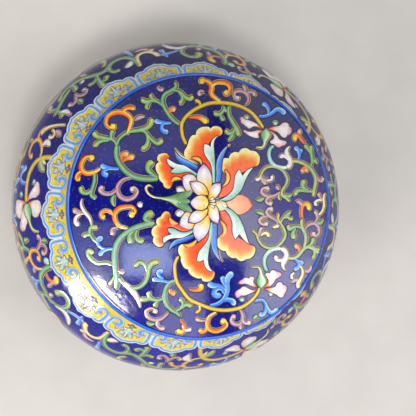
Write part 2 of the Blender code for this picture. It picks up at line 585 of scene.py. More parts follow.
def drawn_line(canvas, left, right, side, enamel, line):
    """The strip under a shape that shows as its outline: its points, their lift and their colours."""
    line_left, line_right, _ = ENAMELS[enamel]
    scale = canvas.scale((left + right) / 2)
    leftward = side_normals(canvas, left) * side / scale
    rightward = -side_normals(canvas, right) * side / scale
    reach_left, reach_right = [line], [line]
    tint_left, tint_right = [line_left], [line_right]
    if line_left == GOLD_LINE:     # a dark line on both sides, and gold beyond it on one
        tint_left = [line_right]
        gilt_left = np.mean(left - right, axis=0).dot((1, 1)) > 0
        reach, tint = (reach_left, tint_left) if gilt_left else (reach_right, tint_right)
        reach += [line + GILT_GAP_MM, line + GILT_GAP_MM + GILT_MM]
        tint += [GOLD_LINE] * 2
    rails = [right + rightward * r for r in [reach_right[-1]] + reach_right[::-1]]
    rails += [left + leftward * r for r in reach_left + [reach_left[-1]]]
    tints = [tint_right[-1]] + tint_right[::-1] + tint_left + [tint_left[-1]]
    spots = np.stack(rails, 1)
    lift = np.array([SKIRT_RISE] + [LINE_RISE] * (len(rails) - 2) + [SKIRT_RISE]) * MM
    tints = np.stack([linear(tint) for tint in tints])
    return spots, lift, np.broadcast_to(tints, spots.shape[:2] + (3,))


def map_places(sizes):
    """A place in the unit square for each strip, rows of strips of like width, none overlapping."""
    order = sorted(range(len(sizes)), key=lambda i: -sizes[i][1])

    def laid(k):
        """The places with every size times k, and how far up the rows reach."""
        places, x, y, row = {}, MAP_GAP, MAP_GAP, 0.0
        for i in order:
            w = min(sizes[i][0] * k, 1 - 2 * MAP_GAP)
            h = sizes[i][1] * k
            if x + w > 1 - MAP_GAP:
                x, y, row = MAP_GAP, y + row + MAP_GAP, 0.0
            places[i] = (x, y, w, h)
            x += w + MAP_GAP
            row = max(row, h)
        return places, y + row + MAP_GAP

    low, high = 0.0, 1.0
    for _ in range(MAP_HALVINGS):
        middle = (low + high) / 2
        if laid(middle)[1] > 1:
            high = middle
        else:
            low = middle
    places = laid(low)[0]
    return [places[i] for i in range(len(sizes))]


def mesh_piece(name, corners, faces, uvs, material, colours=None):
    """A smooth-shaded mesh that rides on the root body; uvs has a row for each corner of each face."""
    mesh = bpy.data.meshes.new(name)
    mesh.from_pydata(corners.tolist(), [], faces)
    mesh.polygons.foreach_set("use_smooth", np.ones(len(mesh.polygons), bool))
    layer = mesh.uv_layers.new(name="OFBake")
    layer.uv.foreach_set("vector", np.asarray(uvs, np.float32).ravel())
    if colours is not None:
        layer = mesh.color_attributes.new("paint", "FLOAT_COLOR", "POINT")
        tints = np.concatenate([colours, np.ones((len(colours), 1))], 1)
        layer.data.foreach_set("color", tints.astype(np.float32).ravel())
    mesh.materials.append(material)
    piece = bpy.data.objects.new(name, mesh)
    bpy.context.scene.collection.objects.link(piece)
    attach(piece, "root")
    return piece


class Enamel:
    """One piece of painting: strips of raised enamel with their colours and a packed colour map."""

    def __init__(self, name):
        self.name = name
        self.strips = []

    def add(self, spots, colours, size, flip):
        """A strip given as a grid of points, with its length and width for the colour map."""
        size = [round(float(side), MAP_DIGITS) for side in size]
        self.strips.append((spots, colours, size, flip))

    def build(self, material):
        """Joins the strips into one mesh, each with its own place in the colour map."""
        corners, colours, uvs, faces = [], [], [], []
        base = 0
        places = map_places([size for _, _, size, _ in self.strips])
        for (spots, tints, _, flip), (u, v, du, dv) in zip(self.strips, places):
            n, m = spots.shape[:2]
            index = base + np.arange(n * m).reshape(n, m)
            quads = np.stack([index[:-1, :-1], index[1:, :-1], index[1:, 1:], index[:-1, 1:]], -1)
            quads = quads.reshape(-1, 4)
            faces.append(quads[:, ::-1] if flip else quads)
            corners.append(spots.reshape(-1, 3))
            colours.append(tints.reshape(-1, 3))
            along = np.linspace(0, 1, n)[:, None] * np.ones(m)
            across = np.ones(n)[:, None] * np.linspace(0, 1, m)
            uvs.append(np.stack([u + along * du, v + across * dv], -1).reshape(-1, 2))
            base += n * m
        faces = np.concatenate(faces)
        mesh_piece(self.name, np.concatenate(corners), faces.tolist(), np.concatenate(uvs)[faces],
                   material, np.concatenate(colours))


class Painter:
    """Lays strokes on one region: the drawn lines in one piece, the colours in families."""

    def __init__(self, region, step_mm=STEP_MM):
        self.step = step_mm
        self.lines = Enamel(region + "_drawn_lines")
        self.families = {family: Enamel(f"{region}_{family}_enamel") for family in FAMILIES}
        self.count = 0

    def ladder(self, canvas, left, right, enamel, coat=0, line=LINE_MM):
        """A shape between two rails, given as rows of points in the canvas's units."""
        rows = ENAMELS[enamel][2]
        middle = (left + right) / 2
        scale = canvas.scale(middle)
        gap = (left - right) * scale
        way = np.gradient(middle, axis=0) * scale
        side = np.sign(np.sum(way[:, 0] * gap[:, 1] - way[:, 1] * gap[:, 0])) or 1.0
        flip = (side < 0) ^ canvas.flipped
        widest = float(np.hypot(gap[:, 0], gap[:, 1]).max())
        length = float(np.hypot(*(np.diff(middle, axis=0) * scale[1:]).T).sum())
        self.count += 1
        rise = (coat * ENAMEL_RISE + (self.count % STACK) * STACK_RISE) * MM
        if line > 0:
            spots, lift, tints = drawn_line(canvas, left, right, side, enamel, line)
            lift = rise + np.broadcast_to(lift, spots.shape[:2])
            self.lines.add(canvas.place(spots, lift), tints, (length, max(widest, MAP_LINE_MM) / 2), flip)
        t = np.linspace(0, 1, len(left))
        q = np.linspace(-1, 1, columns_across(max(len(row[1]) for row in rows), widest))
        share = (q[:, None] + 1) / 2
        spots = right[:, None] * (1 - share) + left[:, None] * share
        lift = (FILL_RISE + ENAMEL_DOME * (1 - q ** 2)) * MM
        lift = rise + np.broadcast_to(lift, spots.shape[:2])
        family = self.families[FAMILY_OF[enamel]]
        family.add(canvas.place(spots, lift), colours_at(rows, t, q),
                   (length, max(widest, MAP_FILL_MM)), flip)

    def stroke(self, canvas, path, enamel, law, width, coat=0, line=LINE_MM, shift=0.0):
        """A brush stroke along a path; width and the sideways shift are millimetres."""
        fine, distance = measured(canvas, path)
        length = distance[-1]
        count = max(FEWEST_POINTS, int(length / self.step) + 2)
        t = np.linspace(0, 1, count)
        if law in ("line", "leaf", "petal"):
            points = spaced(fine, distance, count)
        else:
            t = t - END_CROWDING * np.sin(2 * pi * t) / (2 * pi)
            points = points_at(fine, distance, t * length)
        half = np.maximum(half_width(law, t, length, width / 2), THINNEST_MM)
        normal = side_normals(canvas, points) / canvas.scale(points)
        middle = points + normal * shift
        self.ladder(canvas, middle + normal * half[:, None], middle - normal * half[:, None],
                    enamel, coat, line)

    def patch(self, canvas, outer, inner, enamel, coat=0, line=LINE_MM):
        """A shape drawn by its two sides, both from its base to its end."""
        rails = [measured(canvas, path) for path in (outer, inner)]
        longest = max(distance[-1] for _, distance in rails)
        count = max(FEWEST_PATCH_POINTS, int(longest / self.step) + 2)
        left, right = (spaced(fine, distance, count) for fine, distance in rails)
        self.ladder(canvas, left, right, enamel, coat, line)

    def strokes(self, canvas, table, scale=1.0, line=LINE_MM):
        """Every stroke of a table, its width times scale.

        A heading gives enamel, brush law, width and coat; each line below it is a stroke's path.
        """
        for row in table.strip().splitlines():
            if row[0].isalpha():
                enamel, law, width, coat = row.split()
            else:
                self.stroke(canvas, row, enamel, law, float(width) * scale, int(coat), line)

    def patches(self, canvas, table, line=LINE_MM):
        """Every shape of a table: a heading gives enamel and coat, and two lines are a shape's sides."""
        rows = iter(table.strip().splitlines())
        for row in rows:
            if row[0].isalpha():
                enamel, coat = row.split()
            else:
                self.patch(canvas, row, next(rows), enamel, int(coat), line)

    def build(self, material, line_material):
        self.lines.build(line_material)
        for family in self.families.values():
            family.build(material)


def ring(painter, surface, enamel, down_mm, width, coat=0):
    """A line of enamel all the way round, with no drawn line beside it."""
    path = f"0 {down_mm} 360 {down_mm}"
    painter.stroke(RoundCanvas(surface), path, enamel, "line", width, coat, line=0)


# ---------------------------------------------------------------- the lotus
# Its tables are in units of the canvas that it is drawn on, and the furthest parts come first.
ROUND_PETAL = """
salmon 0
15 2.3 20 3.4 25 7.4 31 8.6 36.5 5.6 39.3 0.6
15 1.2 20 0.4 24 -3 29 -6 34 -4.6 37.4 -1.8 39.3 0.6
"""
RUFFLED_PETALS = """
ruffle 0
13.5 8 16.5 14.5 20 19 20.5 24 18.5 28.5 | 15 30 15 33.5 17.5 36.5 21.5 36.5 | 22.5 39.5 26 41.5 29 41 | \
31 43.5 35 44.5 38 42.5 | 42 42 45 39 45.5 35 44 31.5 40.5 30.5
14 6.5 20 9 24 13 25.5 19 27 24 30 25 34 27 38 29.5 40.5 30.5
6 26 3 31 0.5 34.5 -3 36.8 -7 37.2 -11 36 | -13 38.5 -12.8 42 -11 45 | -10 48 -9 51 -6.5 54 -4 54 | \
-3.5 57 -1 59.5 3 60.5 6.5 60 7.3 58.5 | 9 60.5 12 61 15 60 16.5 57 15.5 54.5 13.5 53.5
9 25 8.5 30 6 36 5 42 6 48 10 52 13.5 53.5
ruffle_head 0
-24.5 38 -26.5 40 -30 40 -33 38.5 -33.5 35 -32 33.5 | -34.5 31.5 -34.5 27 -32.5 24 | -32.5 21.5 -31 19 \
-29 17.5 | -28.5 15 -25 13.5 -23.5 14.5 -22.5 16.5
-24.5 38 -25 35 -25.5 32 -23 28 -20.5 24.5 -21 20 -22.5 16.5
-23.5 -6.5 -25.5 -4 -28 -4 -30 -6 -31 -8 | -33.5 -9 -34.5 -12 -33.5 -14 | -36.5 -15.5 -38 -19 -37.5 -21.5 \
-36 -23 | -37 -26 -34.5 -29.5 -31 -30.5 -29 -29 -28.5 -27.5
-23.5 -6.5 -23.5 -10 -24 -14 -24.5 -17 -25 -20.5 -28 -23.5 -29.5 -25.5 -28.5 -27.5
ruffle 0
5 -19 0 -26 -3 -27.8 -5.5 -30 -8.5 -31 -12 -30 -14 -28.5 | -16.5 -29.5 -17.8 -33 -17 -36 -15.5 -38 | \
-15.5 -41 -14 -45 -12 -47 -10 -47.5 | -9 -50.5 -6 -53 -2 -54.5 0.5 -54 | 1 -56 4 -57 7 -56.5 9.5 -54 \
10.3 -50 9.5 -49
6 -19 6.5 -23 5 -28 2 -33 0 -38 2 -43 5 -47 8 -49 9.5 -49
14 -3 15.5 -9 18 -14 18.5 -19 16.5 -23.5 14 -24 | 12 -25 11.5 -28 13.5 -31.5 16.5 -33.5 19 -33.5 | \
20 -36.5 23.5 -39 27 -39 | 29 -41 32 -41.5 34.5 -40 | 38 -39.5 41 -36.5 42 -32 40.5 -30 38.5 -29.5
15 -2 20 -5 23 -10 24 -15 25 -20 28 -23 32 -25.5 36 -28 38.5 -29.5
"""
LOTUS_STROKES = """
claw vine 4.6 0
-6 25 -12 24.8 -18 24 -25 25
-7 -18.2 -12 -17.5 -17 -15.2 -22 -13 -27 -14
flame leaf 3.0 1
18 28 20.4 24 20 19 16 15
-7.5 36.6 -4 36.4 -1 34.8 0.4 31.5
-23 18 -21 20.6 -18.5 21.2 -15 20.3
-24.6 -8 -22.8 -11.2 -20.5 -12.6 -17.5 -12.8
-13.5 -28.8 -10 -29.6 -6 -28 -3.2 -24.5
14.5 -10.5 17.5 -15 18 -19.5 15.2 -24
cream leaf 1.1 0
-3 31.8 -9 35 -15 38 -18 41 -20.5 44
12.2 -30 13.4 -36 16.4 -42.2
20.6 46 22 47.6
16.8 32 17.8 29 17 26
cream oval 7.4 1
9.6 0.8 19.6 0.2
"""
LOTUS_LEAVES = """
leaf_blue 1
11 18.5 11.8 25 11.6 31 13 37 16 42 20.6 46.3
14 18.5 15.5 24 15.5 30 16.4 36 18.2 41 20.6 46.3
-3 30.5 -9 33.8 -15 36.6 -18.5 39.4 -20.2 42.6
-3.5 27.5 -10 30 -16 33 -19 36.6 -20.2 42.6
-6 -21 -13 -23.5 -20 -25.5 -23.4 -28.8 -25 -33.3
-6 -23.5 -13 -26.6 -19 -28.6 -22 -30.4 -25 -33.3
8.5 -13.5 8 -22 7.8 -29 9.8 -35 15 -41.6
12 -13.5 11.8 -22 11.8 -29 12.8 -35 15 -41.6
fork 1
14 5 20 8 24.5 13 25.5 18 26.5 24 29.5 28.3 | 31.8 22.8 | 35.5 27.5 40.2 29.7
14 4.4 22 5 27 8.5 31 13 34 20 37 25.5 40.2 29.7
8.6 18 8.5 25 7.5 32 5 36 2.6 40 2 44 2.3 47.2 | 5.5 46.5 7.8 44 | 7.6 48 9.5 51.5 13.6 53.8
10.4 18 10.6 26 10.3 35 9.8 42 9.6 47 10.6 51 13.6 53.8
-3.5 24.8 -8 27.8 -13 30.8 -18 31.8 -22 33.6 -26.2 36.3
-4 23.2 -10 26.3 -16 25.2 -20 25 -23.7 25.8 | -21.6 28 -18.6 28.8 | -23 30 -25.6 32.8 -26.2 36.3
-6 -18.8 -10 -21.5 -15 -23.5 -20 -23.8 -24.6 -24.6 -28.6 -27.7
-6.8 -17.4 -12 -19.4 -17 -18.8 -22 -16.4 -26 -16.8 | -24 -20 -21 -20.8 | -25 -21.6 -29.3 -23.8 -28.6 -27.7
6.4 -13 6.2 -19 5.2 -25 1 -31 -2 -35 -3.3 -41.2 | 0 -41.4 2 -39 | 2.2 -43 4.6 -47.6 8.8 -49.4
8.4 -12 8.3 -19 7.3 -26 5.6 -34 5.1 -41 6 -45.4 8.8 -49.4
15 0 19 -3 22.5 -8 24 -13 24 -18 24.6 -21.6 26.4 -25.2 | 29 -20 | 32 -24.2 37 -28.7
15.5 1 22 -2 27 -6 30.5 -11 33 -17 35 -23 37 -28.7
calyx 1
-37.2 14.4 -40 16.6 -43 14.6 -41.8 10.4 -37 6.8 -30 5.4 -24 3.4 -18 -0.6 -13 -2.8 -11.6 -2.6 | -11.6 4
-36 14 -39.4 15.2 -41.2 14 -40.4 11 -36.6 8 -30 7 -24 7.6 -18 10 -13 10.8 -11.6 10.4 | -11.6 4
"""
SEPALS = """
sepal petal 5.4 2
-19 5.6 -13.6 8 -7 11.6
-19 2.4 -13.6 0 -7.2 -4
sepal petal 4.4 2
-17.4 4 -8.4 3.8
"""
SEPAL_LINE_MM = 0.05
LOTUS_PETALS = """
lotus 1
-1 15 -3.4 20.4 -6 23.4 -10.5 24.2 -14.6 22.4
-1 13 -6 11 -10 11 -12.6 13.6 -14.2 18 -14.6 22.4
-3 -7 -8 -5 -12 -4.6 -14.6 -7.4 -16.2 -10.8 -16.9 -14.3
-3 -12 -5 -15.4 -8 -17 -12 -16.4 -16.9 -14.3
lotus 2
5.5 11.5 1 13.5 -2.6 18 -3.2 24 -1.5 28.5 2 32.6
5.5 11.5 7.6 15 8 20 7.2 25 5 29 2 32.6
5.4 -6.4 0 -9 -4 -12.6 -6.2 -17 -5.4 -22 -2 -26.7
5.4 -6.4 6.4 -11 6 -16 3.6 -21.4 -2 -26.7
5.6 4.6 5.4 9 6.6 13.4 9.6 16.8 15 17.7
5.6 4.6 9.6 6 12.6 8.6 14.6 12.6 15 17.7
5.2 1 4.8 -3.6 6.6 -8.6 9.6 -11.6 12.8 -13.4
5.2 1 8.8 2 12 -0.6 13.2 -4.6 13.6 -9 12.8 -13.4
lotus 3
5.2 9 4 13.5 1 17 -3.5 18.8 -8.8 18.6
5.2 9 2 8.3 -2 8.4 -5.4 11 -7.6 14.5 -8.8 18.6
4.8 -1.6 1 -2.8 -3.4 -3 -7 -5 -9.2 -8.4 -10.2 -11.8
4.8 -1.6 4.4 -5 1.4 -9 -2.6 -11.8 -6.4 -12.4 -10.2 -11.8
lotus_bud 4
5.4 2.4 4.2 6.4 1 8.3 -3 7.8 -6.5 5.5 -8.6 3.4
5.4 2.4 3.8 -0.8 0.5 -2.6 -3.5 -2.2 -7 0.4 -8.6 3.4
"""
# The pistils at the lotus's middle fade to white. They are partly pattern and partly a painted highlight
# that stands for the gloss there.
PISTILS_AND_GLINT = """
pistil drop 2.3 5
6 3.6 10.5 4.4
6 2.4 11 1.8
6 4.6 9.4 6.6
6 1.4 9.8 -0.6
"""


def paint_lotus(painter, canvas, unit_mm):
    """The large lotus; unit_mm is the canvas's unit in millimetres."""
    painter.patches(canvas, ROUND_PETAL)
    painter.patches(canvas, RUFFLED_PETALS, BOLD_LINE_MM)
    painter.strokes(canvas, LOTUS_STROKES, unit_mm)
    painter.patches(canvas, LOTUS_LEAVES, BOLD_LINE_MM)
    painter.strokes(canvas, SEPALS, unit_mm, line=SEPAL_LINE_MM)
    painter.patches(canvas, LOTUS_PETALS, BOLD_LINE_MM)
    painter.strokes(canvas, PISTILS_AND_GLINT, unit_mm)


# ---------------------------------------------------------------- small four-petalled flowers
# Each is drawn round its own middle, in lid units.
BLOSSOM_UP = """
bloom 1
-2.8 1.1 -5.5 3.8 -8.6 5.6 -12.5 7.1 -15.9 7.9 | -17.2 9.4 -18.6 10 -19.8 8.7
-2.8 1.1 -5.5 2.3 -8.6 2.8 -11.4 1.5 -12.5 0.9 -14.5 2.3 -16.5 3.8 -18.8 5.2 | -19.2 6.1 -19 7.1 -19.8 8.7
-2.4 -0.2 -5.5 -0.2 -8.6 -1.2 -11.4 -1.6 -14.1 -1.2 -16.5 -0.1 -17.2 -0.8
-2.4 -0.2 -3.1 -1.6 -5.1 -2.8 -5.9 -3.9 | -4.9 -5.5 -6.7 -6.3 -8.6 -5.9 | -11 -5.1 -13.7 -3.9 -15.7 -2.2 \
-17.2 -0.8
2.7 0.9 5.5 2.3 8.6 2.8 11.7 3.4 13.3 5 16 5.9 18.4 5 18.8 3 | 20.7 1.9 21.1 -0.4 20.7 -1.6
2.7 0.9 6.3 -0.2 9.4 -1.2 11.7 -3.2 12.9 -4.7 14.9 -5.7 16.8 -5.1 17.4 -3.5 | 19.2 -3.5 20.7 -1.6
2.7 -0.8 4.7 -0.8 7 -2.4 9.4 -4.7 11 -7 13.3 -8 15.3 -8.2 16.8 -9.2 16 -10.9 | 14.1 -11.9 12.5 -12.1 | \
11.7 -13.2
2.7 -0.8 3.9 -1.6 6.3 -3.3 7 -5.5 5.9 -7.4 3.9 -8.6 4.3 -10.1 6.3 -10.5 | 7.8 -11.7 9.4 -13 11.7 -13.2
bud 2
0 0.6 3.1 -1.6 4.1 -3.9 2.7 -6.3 0.8 -8.6 0 -10.9 -1.2 -12.8 -3.1 -14.2 -5.5 -13.8 -7.6 -13.2
0 0.6 -2.8 -1.6 -3.5 -3.7 -2.4 -6.6 -1.6 -9.3 -2 -11.7 -3.5 -12.6 -5.5 -12.6 -7.6 -13.2
"""
BLOSSOM_DOWN = """
bloom 1
-2.5 0.3 -5.5 3.6 -6.2 4.8 -5.1 7.1 -6.2 8.3 -8.2 8.5 -9.4 6.9 | -11.3 7.7 -13.3 7.3 -14.5 6.1 | -16 5.6 \
-17.4 3.6
-2.5 0.3 -6.2 0.9 -9 2.1 -10.9 2.9 -13.3 3.2 -15.6 2.7 -17.4 3.6
-2.5 -0.6 -5.5 -1.8 -8.2 -1.4 -10.5 -0.2 -12.5 0.9 -14.5 0.5 -16 -1 | -18 -1.8 -19.6 -3.3 -19.9 -5.3 \
-18.4 -7.6
-2.5 -0.6 -5.1 -2.9 -8.2 -4.1 -10.9 -5.3 -13.3 -6 | -15.6 -6 -16.8 -7.2 -18.4 -7.6
2.8 0.3 5.1 2.5 6.3 5.2 5.5 7.5 3.6 9.4 3.6 10.6 5.5 11.2 7.1 10.6 | 7.5 12.1 9 13.3 11 13.3 12 12.1 | \
14.1 12 16.1 11 16.5 9.8
2.8 0.3 7.5 1.3 10.2 3.6 11.4 6 13.7 7.5 15.7 8.3 16.5 9.8
3 -1 5.9 -0.6 9.4 -0.2 11.8 0.9 12.6 2.9 14.5 4 16.5 3.6 17.3 1.7 | 19.2 1.7 20.8 0.2 20.4 -2.2
3 -1 6.3 -2.9 9.4 -4.1 12.2 -5.3 14.1 -6.8 16.1 -7.8 18 -7.2 18.8 -5.3 | 20 -3.7 20.4 -2.2
bud 2
0 -0.4 3.2 2.5 4.1 4.8 3.2 7.1 1.2 10.6 0.4 13.3 -1.1 15.6 -3.5 16.2 -6.6 16 -9 15.8
0 -0.4 -2.7 2.1 -3.5 4.8 -2.5 7.9 -1.3 11 -1.5 13.3 -2.5 14.9 -5.1 15.1 -9 15.8
"""
SPOTS = ((-14.6, 9.4), (8.1, 5.4))      # middles of the flower's two green spots
SPOT_HALF = 1.5                         # half a spot's length
SPOT_FALL = 0.3                         # how much lower its right end is
SPOT_MM = 1.2                           # its width


def paint_blossom(painter, canvas, petals, up=1):
    """A small flower; its two green spots lie above the petals, or below them where up is -1."""
    painter.patches(canvas, petals)
    for x, y in SPOTS:
        path = f"{x - SPOT_HALF} {y * up} {x + SPOT_HALF} {y * up - SPOT_FALL * up}"
        painter.stroke(canvas, path, "jade", "oval", SPOT_MM)


